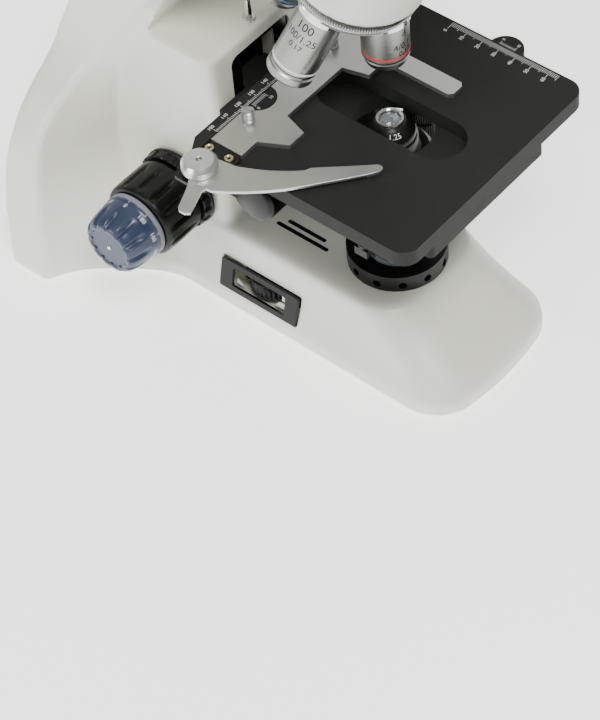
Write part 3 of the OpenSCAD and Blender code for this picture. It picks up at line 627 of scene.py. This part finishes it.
finish("bottom_plate", BLACK_COAT, 0)
finish("base_screws coarse_drive fine_shaft hinge_post head_dovetail", STEEL, 0)
finish("rubber_feet", RUBBER, 0.8)
finish("lamp_collar", BLACK_COAT, 0.5)
finish("lamp_socket", BLACK_PLASTIC, 0.4)
finish("power_inlet fuse_drawer", BLACK_PLASTIC, 0.4)
finish("rocker_switch", GLOSS_BLACK, 0.4)
finish("stage_bracket lower_plate", CHARCOAL, 0.6)
finish("vernier_tab", CHARCOAL, 0.3)
finish("top_plate", CHARCOAL, 0.7, 3)
finish("guide_bar", CHARCOAL, 0.35)
finish("holder_plate", SATIN, 0.35)
finish("hinge_plate", BLACK_COAT, 0.3)
finish("condenser_carrier iris_ring filter_tray", BLACK_COAT, 0.5)
finish("turret", CHROME, 0.4)
finish("head_body prism_left prism_right", IVORY, 3, 4)
finish("tube_left tube_right", CHROME, 0.6)


# ------------------------------------------------------------------
# printed scales
# ------------------------------------------------------------------


class Print:
    """Flat marks and numerals collected into one piece."""

    def __init__(self):
        self.points, self.faces = [], []

    def add(self, points, faces, place):
        n = len(self.points)
        self.points += [tuple(place(p)) for p in points]
        self.faces += [[n + i for i in f] for f in faces]

    def bar(self, x0, x1, y0, y1, place):
        self.add([(x0, y0, 0), (x1, y0, 0), (x1, y1, 0), (x0, y1, 0)], [[0, 1, 2, 3]], place)

    def word(self, text, size, x, y, place, degrees=0):
        points, faces = numeral(text)
        t = math.radians(degrees)
        c, s = math.cos(t) * size, math.sin(t) * size
        self.add([(x + px * c - py * s, y + px * s + py * c, 0) for px, py in points], faces, place)

    def done(self, name, finish, body):
        return make(name, self.points, self.faces, finish, body)


NUMERALS = {}


def numeral(text):
    """Outline of a number, centred, with figures about 0.7 high."""
    if text not in NUMERALS:
        c = bpy.data.curves.new("numeral", "FONT")
        c.body, c.align_x, c.align_y, c.resolution_u = text, "CENTER", "CENTER", 3
        o = bpy.data.objects.new("numeral", c)
        bpy.context.scene.collection.objects.link(o)
        mesh = bpy.data.meshes.new_from_object(o.evaluated_get(bpy.context.evaluated_depsgraph_get()))
        NUMERALS[text] = [(v.co.x, v.co.y) for v in mesh.vertices], [list(p.vertices) for p in mesh.polygons]
        bpy.data.objects.remove(o)
        bpy.data.meshes.remove(mesh)
    return NUMERALS[text]


def flat_at(matrix):
    return lambda p: matrix @ Vector(p)


def round_rod(place, radius, grow=0.0):
    """Wraps a flat drawing round a turned piece: x goes round, y along, grow is the slope of the radius."""
    def f(p):
        r = radius + grow * p[1]
        a = p[0] / radius
        return place @ Vector((r * math.cos(a), r * math.sin(a), p[1]))
    return f


def stage_scales():
    edge = Print()
    at = flat_at(shift(0, 0, STAGE_TOP + 0.03))
    for v in range(66):
        y = 14.2 - v
        long = 5.2 if v % 10 == 0 else 4.0 if v % 5 == 0 else 2.9
        edge.bar(68.9 - long, 68.9, y - 0.11, y + 0.11, at)
        if v % 10 == 0:
            edge.word(str(v), 2.9, 62.0, y, at)
    edge.done("stage_scale", PRINT, "stage_table")

    bar = Print()
    at = flat_at(shift(0, 0, STAGE_TOP + 3.03))
    for v in range(0, 81):
        x = -61.1 + v
        long = 2.6 if v % 10 == 0 else 2.1 if v % 5 == 0 else 1.6
        bar.bar(x - 0.11, x + 0.11, 56.9, 56.9 + long, at)
        if v % 10 == 0:
            bar.word(str(100 + v), 2.7, x, 61.2, at)
    bar.done("guide_scale", PRINT, "stage_table")

    n = 28
    arc = [(-31.3 + 9.35 * math.cos(math.pi + math.pi * i / n),
            56.2 + 9.3 * math.sin(math.pi + math.pi * i / n)) for i in range(n + 1)]
    slab("holder_window", arc, STAGE_TOP + 1.8, STAGE_TOP + 2.92, BLACK_COAT, "slide_holder", edge=0)
    mark = Print()
    at = flat_at(shift(0, 0, STAGE_TOP + 2.95))
    for v in range(11):
        x = -36.7 + 0.9 * v
        long = 2.8 if v in (0, 10) else 2.1
        mark.bar(x - 0.1, x + 0.1, 56.1 - long, 56.1, at)
    mark.word("0", 2.5, -36.9, 51.4, at)
    mark.word("10", 2.5, -27.6, 51.4, at)
    mark.done("holder_marks", PRINT, "slide_holder")

    side = Print()
    at = flat_at(shift(0, 0, STAGE_TOP - 1.95))
    for v in range(11):
        y = -12.1 - 0.9 * v
        long = 3.0 if v in (0, 10) else 2.2
        side.bar(70.9, 70.9 + long, y - 0.1, y + 0.1, at)
    side.word("0", 2.3, 75.4, -12.1, at)
    side.word("10", 2.3, 75.6, -21.0, at)
    side.done("edge_marks", PRINT, "stage")


stage_scales()


# ------------------------------------------------------------------
# slide holder
# ------------------------------------------------------------------

TURNED = machined("turned aluminium", (0.55, 0.56, 0.55), (0.68, 0.69, 0.68), 0.26, stretch=(1, 1, 10),
        pitch=240, relief=0.006)


def slide_clip():
    """The thin curved finger with its lever, and the cap over its pivot."""
    finger = [(-73.9, 32.9), (-69.9, 24.5), (-66.7, 18.7), (-63.2, 13.6), (-60.0, 9.2), (-57.2, 5.9),
            (-55.6, 5.0), (-54.0, 4.4), (-50.0, -0.2),
              (-45.5, -5.8), (-40.6, -11.5), (-36.6, -16.2), (-33.2, -20.2), (-32.9, -22.2), (-34.2, -23.6),
              (-36.8, -23.4), (-41.4, -20.3),
              (-46.7, -16.0), (-52.3, -11.6), (-57.9, -6.9), (-65.3, -0.9), (-72.2, 5.3), (-78.8, 12.2),
              (-84.4, 19.0), (-89.3, 25.8), (-93.5, 32.6),
              (-94.4, 44), (-88, 54), (-79, 52), (-75.6, 44)]
    a = slab("clip_finger", finger, STAGE_TOP + 2.5, STAGE_TOP + 4.2, SATIN, "slide_clip", edge=0.3)
    lever = [(-94, 46.5), (-98.7, 43.6), (-110.6, 38.4), (-112.1, 36.6), (-112.0, 33.2), (-110.3, 31.0),
            (-96.2, 36.2), (-91, 35)]
    b = slab("clip_lever", lever, STAGE_TOP + 2.6, STAGE_TOP + 4.1, SATIN, "slide_clip", edge=0.35)
    tip = slab("clip_tip", [(-37, -16.8), (-33.8, -20.4), (-34.2, -22.6), (-36.4, -22.4), (-41, -19.2)],
            STAGE_TOP + 0.6, STAGE_TOP + 2.7, SATIN, "slide_clip", edge=0.2)
    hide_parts("spring_finger")
    cap = lathe("clip_cap", [(0, 4.4), (1.3, 4.4), (1.3, 5.7), (1.6, 5.9), (7.2, 5.9), (7.4, 5.8),
            (9.0, 3.9), (9.1, 3.7), (9.1, 0.4), (8.8, 0), (0, 0)], TURNED, "slide_clip",
                shift(-85.2, 47, STAGE_TOP + 4.25), steps=96, sharp=22)
    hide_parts("pivot_cap")
    lathe("clip_pin", [(0, 0), (1.1, 0), (1.1, 1.1), (0.7, 1.4), (0, 1.4)], STEEL, "slide_clip",
            shift(-85.2, 47, STAGE_TOP + 8.4), steps=24)


def small_screws():
    for i, y in enumerate((40.9, 53.2)):
        s = lathe("plate_screw_%d" % i, [(0, 0.7), (1.1, 0.8), (1.5, 1.15), (2.1, 1.15), (2.3, 0.9),
        (2.3, 0), (0, 0)], BRASS, "slide_holder",
                  shift(-71.4, y, STAGE_TOP + 2.2), steps=40)
        cross = slab("plate_cross_%d" % i, [(-1.1, -0.25), (-0.25, -0.25), (-0.25, -1.1), (0.25, -1.1),
                (0.25, -0.25), (1.1, -0.25), (1.1, 0.25),
                                            (0.25, 0.25), (0.25, 1.1), (-0.25, 1.1), (-0.25, 0.25),
                                            (-1.1, 0.25)], 0.5, 0.84, BLACK_COAT, "slide_holder",
                     shift(-71.4, y, STAGE_TOP + 2.2) @ turn(20 + 40 * i, "Z"), edge=0)
    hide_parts("clip_screws")
    heads = [lathe("thumb_screw_%d" % i, [(0, 7.0), (2.4, 7.0), (3.2, 6.4), (3.2, 2.6), (2.7, 2.3),
            (2.7, 1.9), (3.2, 1.6), (3.2, 0.4), (2.9, 0), (0, 0)],
                   STEEL, "slide_holder", shift(x, 50, STAGE_TOP + 3.02), steps=48) for i,
                   x in enumerate((-46.1, 17.8))]
    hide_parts("thumb_screws")


slide_clip()
small_screws()


# ------------------------------------------------------------------
# focus knobs
# ------------------------------------------------------------------


def window(v, a, b, soft):
    """1 between a and b, fading to 0 over soft on each side."""
    def s(t):
        t = min(1.0, max(0.0, t))
        return t * t * (3 - 2 * t)
    return s((v - a) / soft) * s((b - v) / soft)


def levels(shape, count):
    """More rings along a turned outline, so that flutes bend smoothly."""
    out = []
    for (r0, h0), (r1, h1) in zip(shape, shape[1:]):
        n = max(1, round(math.hypot(r1 - r0, h1 - h0) / count))
        out += [(r0 + (r1 - r0) * i / n, h0 + (h1 - h0) * i / n) for i in range(n)]
    return out + [shape[-1]]


def focus_knobs():
    def ridges(a):
        v = 0.5 + 0.5 * math.cos(18 * a)
        return 1.15 * (1 - min(1.0, max(0.0, (v - 0.18) / 0.32)))
    ring = lathe("torque_grip", levels([(10.1, 0), (22.4, 0), (23, 0.6), (23, 1.6), (22.5, 2.0),
    (22.5, 6.4), (21.9, 7), (10.1, 7), (10.1, 0)], 0.6),
                 BLACK_PLASTIC, "torque", along_x(-40.2, FOCUS_Y, FOCUS_Z, -1), 216,
                 lambda a, r, h: r if r < 21.5 or h < 2.1 else r - ridges(a))
    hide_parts("torque_ring")
    coarse, fine = [], []
    for side in (-1, 1):
        tag = "left" if side < 0 else "right"
        place = along_x(side * 48.5, FOCUS_Y, FOCUS_Z, side)

        def flutes(a, r, h):
            if r < 17:
                return r
            cut = max(0.0, math.cos(14 * a)) ** 2.2 * window(h, 3.5, 24.6, 7.0)
            return r - 1.9 * cut
        shape = [(6.1, 8.1), (6.1, 0), (20.4, 0), (21.0, 0.6), (21.3, 3), (21.5, 14), (21.3, 22.5),
        (20.8, 24.2), (19.6, 25), (3.4, 25), (3.4, 8.1), (6.1, 8.1)]
        coarse.append(lathe("coarse_grip_" + tag, levels(shape, 0.9), BLACK_PLASTIC, "coarse", place, 336,
                flutes, sharp=50))
        place = along_x(side * 73.8, FOCUS_Y, FOCUS_Z, side)

        def scallops(a, r, h):
            if r < 12:
                return r
            cut = max(0.0, math.cos(12 * a)) ** 1.6 * window(h, 8.6, 27, 7.5)
            return r - 1.7 * cut
        shape = [(3.05, 12), (3.05, 0), (18.0, 0), (18.5, 0.4), (18.5, 4.6), (18.2, 5.0), (18.0, 9),
        (17.5, 14), (16.9, 18), (16.1, 20.6), (14.8, 22.4), (13.4, 23),
                 (12.2, 22.7), (11.6, 22.1), (0, 22.1)]
        fine.append(lathe("fine_grip_" + tag, levels(shape, 0.8), SLATE, "fine", place, 288, scallops,
                sharp=50))
        marks = Print()
        wrap_on = round_rod(place, 18.55)
        for i in range(100):
            x = 2 * math.pi * 18.55 * i / 100
            long = 4.0 if i % 10 == 0 else 3.2 if i % 5 == 0 else 2.6
            marks.bar(x - 0.15, x + 0.15, 0.5, 0.5 + long, wrap_on)
        outer = round_rod(place, 18.34, -0.03)
        for i in range(10):
            x = -side * 2 * math.pi * 18.34 * i / 10
            marks.word(str(20 * i), 3.6, x, 6.9, outer, 0 if side > 0 else 180)
        marks.done("fine_scale_" + tag, PRINT, "fine")
        lathe("fine_cap_" + tag, [(0, 0.5), (1.1, 0.5), (1.3, 0.2), (1.3, 0), (0, 0)], STEEL, "fine",
              along_x(side * 95.9, FOCUS_Y, FOCUS_Z, side), 24)
    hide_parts("coarse_knobs")
    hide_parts("fine_knobs")


def knurled(name, outline, count, depth, finish, body, place, low, high, steps=None):
    """A turned piece with straight knurling between two heights."""
    def f(a, r, h):
        grooved = low <= h <= high and r > outline[1][0] * 0.6
        return r - depth * (0.5 - 0.5 * math.cos(count * a)) if grooved else r
    return lathe(name, outline, finish, body, place, steps or count * 4, f, sharp=60)


def drive_knobs():
    k = knurled("condenser_grip", [(0, 17.0), (10.8, 17.0), (12.2, 16.4), (13, 15.0), (13, 14.2),
    (13, 14.0), (13, 2.2), (12.6, 1.2), (8, 0), (0, 0)], 64, 0.55, BLACK_PLASTIC,
                "condenser_drive", along_x(-37.3, 46.4, 103.6, -1), 2.2, 14.1)
    lathe("condenser_axle", [(0, 0), (3, 0), (3, 73.5), (0, 73.5)], STEEL, "condenser_drive",
            along_x(-37.4, 46.4, 103.6, 1), 32)
    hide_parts("condenser_knob")
    a = knurled("drive_grip_y", [(3.1, 0), (9.6, 0), (11, 1.2), (11, 1.4), (11, 12.6), (11, 12.8),
            (9.6, 14), (6, 14), (6, 40.3), (3.1, 40.3), (3.1, 0)], 56, 0.5, BLACK_PLASTIC,
                "drive_y", shift(50, 20, 98), 1.4, 12.6)
    b = knurled("drive_grip_x", [(0, 0), (8.4, 0), (9.5, 1.2), (9.5, 1.4), (9.5, 13.4), (9.5, 13.6),
            (8.4, 14.7), (3, 14.7), (3, 55), (0, 55)], 48, 0.5, BLACK_PLASTIC,
                "drive_x", shift(50, 20, 83), 1.4, 13.4)
    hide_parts("stage_drive_y")
    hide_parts("stage_drive_x")
    s = knurled("stop_screw", [(0, 0), (2, 0), (2, 6.7), (3.4, 6.7), (3.4, 6.8), (3.4, 9.4), (3.4, 9.5),
            (2, 9.5), (2, 21.5), (3.6, 21.8), (4, 22.4), (4, 26.8), (3.4, 27.5), (0, 27.5)], 36, 0.3, CHROME,
                "height_stop", shift(0, 88, 155.5), 6.8, 9.4)
    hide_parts("limit_screw")


focus_knobs()
drive_knobs()


# ------------------------------------------------------------------
# condenser and lamp
# ------------------------------------------------------------------


def condenser():
    low = 86.0
    shell = lathe("condenser_shell", [(16, low + 10), (16, low - 8), (20.4, low - 8), (21, low - 7.4),
            (21, 121.6), (20.6, 122.4), (19.6, 123.2), (18.9, 124.4),
                                      (17.4, 125.0), (14.6, 125.4), (13.6, 126.4), (13.4, 133.6),
                                      (13.0, 134.6), (12.6, 135.2), (12.5, 137.8), (12.2, 138.8),
                                      (8.3, 143.4), (7.9, 143.7), (7.2, 143.8), (5.5, 143.8),
                                      (5.5, low + 10), (16, low + 10)], BLACK_COAT, "condenser", steps=96,
                                      sharp=24)
    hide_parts("condenser_body")
    lathe("condenser_ring", [(5.4, 143.5), (7.0, 143.5), (7.0, 144.8), (6.8, 145.2), (5.8, 145.2),
            (5.4, 144.9), (5.4, 143.5)], CHROME, "condenser", steps=80, sharp=20)
    dome = [(5.4 * math.sin(math.radians(v)), 143.2 + 1.6 * math.cos(math.radians(v)))
            for v in range(90, -1, -10)]
    top = lathe("condenser_top_lens", [(0, 138)] + [(5.4, 138)] + dome, GLASS, "condenser", steps=64)
    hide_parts("condenser_lens")
    lathe("condenser_low_lens", [(0, low + 4), (15.8, low + 5), (15.8, low + 7), (0, low + 8.4)], GLASS,
            "condenser", steps=64)
    number = Print()
    r0, slope = 10.4, math.hypot(3.9, 4.6)

    def on_cone(p):
        t = p[1] / slope
        r, h = 10.25 - 3.9 * t, 141.1 + 4.6 * t + 0.03
        a = math.radians(-128) + p[0] / r0
        return Vector(((r + 0.04) * math.cos(a), (r + 0.04) * math.sin(a), h))
    number.word("1.25", 3.9, 0, 0, on_cone)
    number.done("condenser_number", PRINT, "condenser")


def lamp():
    dome = [(14.6 * math.sin(math.radians(v)), 52.2 + 2.4 * math.cos(math.radians(v)))
    for v in range(90, -1, -9)]
    top = lathe("lamp_lens", [(0, 49.2), (14.6, 49.2)] + dome, GLASS, "stand", steps=72)
    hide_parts("field_lens")
    lathe("lamp_rim", [(14.7, 50), (15.4, 50), (15.4, 54.9), (14.7, 54.6), (14.7, 50)], STEEL, "stand",
            steps=72)


condenser()
lamp()


# ------------------------------------------------------------------
# fittings of the stand
# ------------------------------------------------------------------


def ring_plate(name, outer, inner, low, high, finish, body, place):
    """A flat frame between two outlines with the same number of points."""
    n = len(outer)
    points = [(x, y, low) for x, y in outer] + [(x, y, high) for x, y in outer] + [(x, y, low) for x,
            y in inner] + [(x, y, high) for x, y in inner]
    faces = []
    for i in range(n):
        j = (i + 1) % n
        faces += [[i, j, n + j, n + i], [n + i, n + j, 3 * n + j, 3 * n + i],
                [3 * n + i, 3 * n + j, 2 * n + j, 2 * n + i], [2 * n + i, 2 * n + j, j, i]]
    piece = make(name, points, faces, finish, body, place)
    return soften(piece, 0.3)


def stand_fittings():
    front = turn(90, "X")
    panel = ring_plate("slot_panel", rounded(-21.9, 21.9, 50.2, 153.9, 5.5),
            rounded(-13.6, 13.6, 54, 150.5, 3), -85.6, -83.2, GLOSS_BLACK, "stand", front)
    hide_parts("slot_liner")
    slab("slot_back", rounded(-15.9, 15.9, 52.2, 151.8, 3), -96.5, -94.5, BLACK_PLASTIC, "stand", front,
            edge=0)
    for i, x in enumerate((-15.4, 15.4)):
        slab("slot_side_%d" % i, [(x - 0.4, 84.5), (x + 0.4, 84.5), (x + 0.4, 95), (x - 0.4, 95)], 52.4,
        151.4, BLACK_PLASTIC, "stand", edge=0)
    bezel = ring_plate("dimmer_window", rounded(-26, 26, 0, 18, 1.0), rounded(-17.5, 17.5, 3.4, 14.6, 1.2),
    -0.8, 0.9, GLOSS_BLACK, "stand", ON_DIMMER)
    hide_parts("dimmer_bezel")
    slab("dimmer_well", rounded(-19, 19, 1.5, 16.5, 1), 12, 13, BLACK_PLASTIC, "stand", ON_DIMMER, edge=0)
    slab("dimmer_clip", [(-17, 8.6), (-13.4, 8.6), (-12.6, 12.4), (-14.4, 14.2), (-17, 14.2)], 2.6, 3.6,
            PALE, "stand", ON_DIMMER, edge=0.2)
    slab("dimmer_leaf", [(-17, 3.6), (-9, 3.6), (-11.4, 6.6), (-17, 7.4)], 2.6, 3.6, PALE, "stand",
            ON_DIMMER, edge=0.2)
    slab("dimmer_stop", [(12.4, 3.6), (17, 3.6), (17, 6.4)], 2.6, 3.6, PALE, "stand", ON_DIMMER, edge=0.2)
    wheel = knurled("dimmer_grip", [(2, 0), (13.0, 0), (13.5, 0.5), (13.5, 0.7), (13.5, 8.5), (13.5, 8.7),
            (13.0, 9.2), (2, 9.2), (2, 0)], 30, 1.1, BLACK_PLASTIC,
                    "dimmer", shift(-31.4, 57.5, 17.4), 0.7, 8.5)
    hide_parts("dimmer_wheel")
    # Two thin flat black strips laid on the plateau top as dark lines; nothing is cut into the casting.
    for i, (x, a, b) in enumerate(((-19.6, 30, 64), (-15.2, 35, 60))):
        slab("plateau_dark_strip_%d" % i, rounded(x - 1.1, x + 1.1, a, b, 1.05), 47.6, 48.15, BLACK_PLASTIC,
        "stand", edge=0)
    ring_plate("inlet_frame", rounded(14.4, 43.6, 25.4, 46.6, 2), rounded(17, 41, 28, 44, 2.4), -192.6,
    -190.6, BLACK_PLASTIC, "stand", front)


stand_fittings()


# ------------------------------------------------------------------
# turret and objectives
# ------------------------------------------------------------------

BARREL = machined("barrel metal", (0.24, 0.24, 0.23), (0.40, 0.40, 0.38), 0.26, stretch=(1, 1, 16),
        pitch=180, relief=0.006, aniso=0.4)


def turret():
    ring = knurled("turret_grip", [(29.2, 40), (31.2, 40), (32, 40.8), (32, 41.0), (32, 46.0), (32, 46.2),
    (31.2, 47), (29.2, 47), (29.2, 40)], 150, 0.55, BARREL,
                   "nosepiece", ON_TURRET, 41.0, 46.0)
    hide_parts("turret_ring")


def objective(place, length, band, tip, power, aperture, wide):
    """A barrel with an enamel band, standing out from the shoulder of the turret."""
    z = SHOULDER
    end = z + length
    top = "objective_" + power
    if wide:
        outline = [(4.5, z - 3.6), (10, z - 4), (10, z), (11.2, z), (11.75, z + 0.5), (11.75, end - 7.0),
        (11.3, end - 6.5), (11.3, end - 6.0), (11.6, end - 5.4),
                   (10.2, end - 1.6), (7.6, end - 0.4), (7.0, end), (4, end), (4, end - 3), (4.5, z - 3.6)]
        ring_at = end - 9.6
    else:
        outline = [(4.5, z - 3.6), (10, z - 4), (10, z), (11.2, z), (11.75, z + 0.5), (11.75, end - 12.6),
        (11.35, end - 12.2), (11.35, end - 11.4), (12.0, end - 10.8),
                   (12.0, end - 7.6), (11.6, end - 6.8), (tip + 3.6, end - 2.6), (tip + 2.6, end - 2.2),
                   (tip + 1.0, end - 1.9), (tip, end), (1.2, end), (1.2, end - 4), (4.5, z - 3.6)]
        ring_at = end - 15.6
    piece = lathe(top + "_barrel", outline, BARREL, "nosepiece", place, 96, sharp=25)
    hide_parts("objective_" + power)
    lathe(top + "_band", [(11.6, ring_at), (11.86, ring_at + 0.1), (11.86, ring_at + 1.2),
            (11.6, ring_at + 1.3), (11.6, ring_at)], band, "nosepiece", place, 96)
    lathe(top + "_groove", [(11.5, ring_at + 2.3), (11.80, ring_at + 2.3), (11.80, ring_at + 2.8),
            (11.5, ring_at + 2.8), (11.5, ring_at + 2.3)], BLACK_COAT, "nosepiece", place, 96)
    lathe(top + "_front_lens", [(0, end - 0.5), (3.9 if wide else 1.15, end - 0.6),
            (3.9 if wide else 1.15, end - 2.5), (0, end - 2.5)], DARK_GLASS, "nosepiece", place, 40)
    words = Print()
    seat = round_rod(place, 11.80)
    face = math.radians(-90)
    for text, size, h in ((power, 6.6, z + 5.0), (power + "/" + aperture, 5.2, z + 11.4),
            ("0.17", 4.4, z + 16.8 if not wide else z + 15.8)):
        for step in (0, math.pi):
            words.word(text, size, 11.80 * (face + step), h, seat, 180)
    words.done(top + "_numbers", PRINT_BLACK, "nosepiece")


turret()
objective(on_place(0), 27.0, RED, 7.5, "4", "0.10", True)
objective(on_place(3), 37.0, YELLOW, 6.0, "10", "0.25", True)
objective(on_place(2), 44.4, BLUE, 3.0, "40", "0.65", False)
objective(on_place(1), 45.0, PALE, 2.6, "100", "1.25", False)


# ------------------------------------------------------------------
# binocular head
# ------------------------------------------------------------------


def eye_pieces():
    for side in (-1, 1):
        tag = "left" if side < 0 else "right"
        body = "ocular_" + tag
        place = ON_HEAD @ shift(side * TUBE_X, TUBE_Y, 34)
        cup = [(8, -0.6), (11.6, -0.6), (11.6, 14.8), (15.6, 14.8), (16.2, 15.4), (16.4, 20.8),
                (16.0, 21.2), (16.0, 21.8), (16.5, 22.2), (16.9, 30), (17.0, 34.6),
               (17.5, 35.2), (17.5, 36.6), (16.8, 40.5), (15.4, 42.4), (14.4, 42.6), (13.4, 42.0),
               (11.2, 38.0), (10.8, 33.5), (8, 33.0), (8, -0.6)]
        p = lathe("eyepiece_%s_body" % tag, cup, BLACK_PLASTIC, body, place, 96, sharp=30)
        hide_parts("eyepiece_" + tag)
        lens = [(10.7 * math.sin(math.radians(v)), 34.2 + 1.9 * math.cos(math.radians(v)))
                for v in range(90, -1, -10)]
        lathe("eyepiece_%s_lens" % tag, [(0, 33.2), (10.7, 33.2)] + lens, GLASS, body, place, 64)
        mark = Print()
        mark.word("10", 4.0, 16.7 * math.radians(-90), 27, round_rod(place, 16.75))
        mark.done("eyepiece_%s_number" % tag, PRINT, body)
    place = ON_HEAD @ shift(-TUBE_X, TUBE_Y, 34)
    ring = knurled("dioptre_grip", [(15.1, 0.1), (17.4, 0.1), (18, 0.7), (18, 0.9), (18, 6.2), (18, 6.4),
            (17.2, 7.0), (17.0, 9.4), (16.4, 9.9), (15.1, 9.9), (15.1, 0.1)],
                   90, 0.5, BLACK_PLASTIC, "dioptre", place, 0.9, 6.2)
    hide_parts("dioptre_ring")
    marks = Print()
    at = round_rod(place, 17.12)
    for i in range(-5, 6):
        a = 17.12 * (math.radians(-90) + math.radians(9 * i))
        marks.bar(a - 0.12, a + 0.12, 7.3, 9.0 if i % 5 == 0 else 8.4, at)
    marks.done("dioptre_marks", PRINT, "dioptre")
    k = knurled("clamp_grip", [(0, 0), (2, 0), (2, 14.6), (4.4, 14.6), (5, 15.2), (5, 15.4), (5, 22.2),
            (5, 22.4), (4.2, 23), (0, 23)], 40, 0.35, CHROME, "clamp_screw",
                shift(0, 0, HEAD_Z - 3.2) @ turn(-30, "Z") @ shift(23, 0, 0) @ turn(90, "Y"), 15.4, 22.2)
    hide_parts("head_screw")


eye_pieces()


# ------------------------------------------------------------------
# floor, light and camera
# ------------------------------------------------------------------


def studio():
    m, t, s = begin("pale floor")
    grain = grouped(t, FINE_GRAIN, Pebble=300.0, Drift=2.0)
    t.links.new(two_tone(t, grain.outputs["Drift"], (0.93, 0.93, 0.93), (0.95, 0.95, 0.95)),
            s.inputs["Base Color"])
    s.inputs["Roughness"].default_value = 0.6
    s.inputs["Emission Color"].default_value = (1, 1, 1, 1)
    s.inputs["Emission Strength"].default_value = 1.3
    bpy.ops.mesh.primitive_plane_add(size=12, location=(0, 0, 0))
    floor = bpy.context.object
    floor.name = "floor"
    floor.data.materials.append(m)

    def lamp(name, place, aim, size, power, colour=(1, 1, 1)):
        data = bpy.data.lights.new(name, "AREA")
        data.shape = "DISK"
        data.size = size
        data.energy = power
        data.color = colour
        o = bpy.data.objects.new(name, data)
        o.location = place
        o.rotation_mode = "QUATERNION"
        o.rotation_quaternion = (Vector(aim) - Vector(place)).to_track_quat("-Z", "Y")
        bpy.context.scene.collection.objects.link(o)
    lamp("key light", (-0.55, -0.75, 1.75), (0, 0.02, 0.15), 0.6, 34, (1.0, 0.985, 0.96))
    lamp("side light", (-1.7, 0.55, 0.9), (0, 0.05, 0.12), 0.9, 17, (0.97, 0.985, 1.0))
    lamp("far light", (1.3, 0.5, 1.3), (0, 0, 0.12), 1.0, 4)
    world = bpy.data.worlds.new("room")
    bpy.context.scene.world = world
    world.use_nodes = True
    world.node_tree.nodes["Background"].inputs["Color"].default_value = (0.95, 0.97, 1.0, 1)
    world.node_tree.nodes["Background"].inputs["Strength"].default_value = 0.42


def camera():
    a, e, roll = math.radians(-45.72), math.radians(49.15), math.radians(-5.77)
    back = Vector((math.sin(a) * math.cos(e), -math.cos(a) * math.cos(e), math.sin(e)))
    right = Vector((math.cos(a), math.sin(a), 0))
    up = right.cross(-back)
    r = right * math.cos(roll) + up * math.sin(roll)
    u = -right * math.sin(roll) + up * math.cos(roll)
    data = bpy.data.cameras.new("camera")
    data.lens = 139.85
    data.sensor_width = 36
    data.clip_end = 30
    o = bpy.data.objects.new("camera", data)
    bpy.context.scene.collection.objects.link(o)
    place = Vector((-732.7, -637.7, 946.8 + STAGE_TOP)) * MM
    o.matrix_world = Matrix(((r.x, u.x, back.x, place.x), (r.y, u.y, back.y, place.y),
            (r.z, u.z, back.z, place.z), (0, 0, 0, 1)))
    bpy.context.scene.camera = o


studio()
camera()
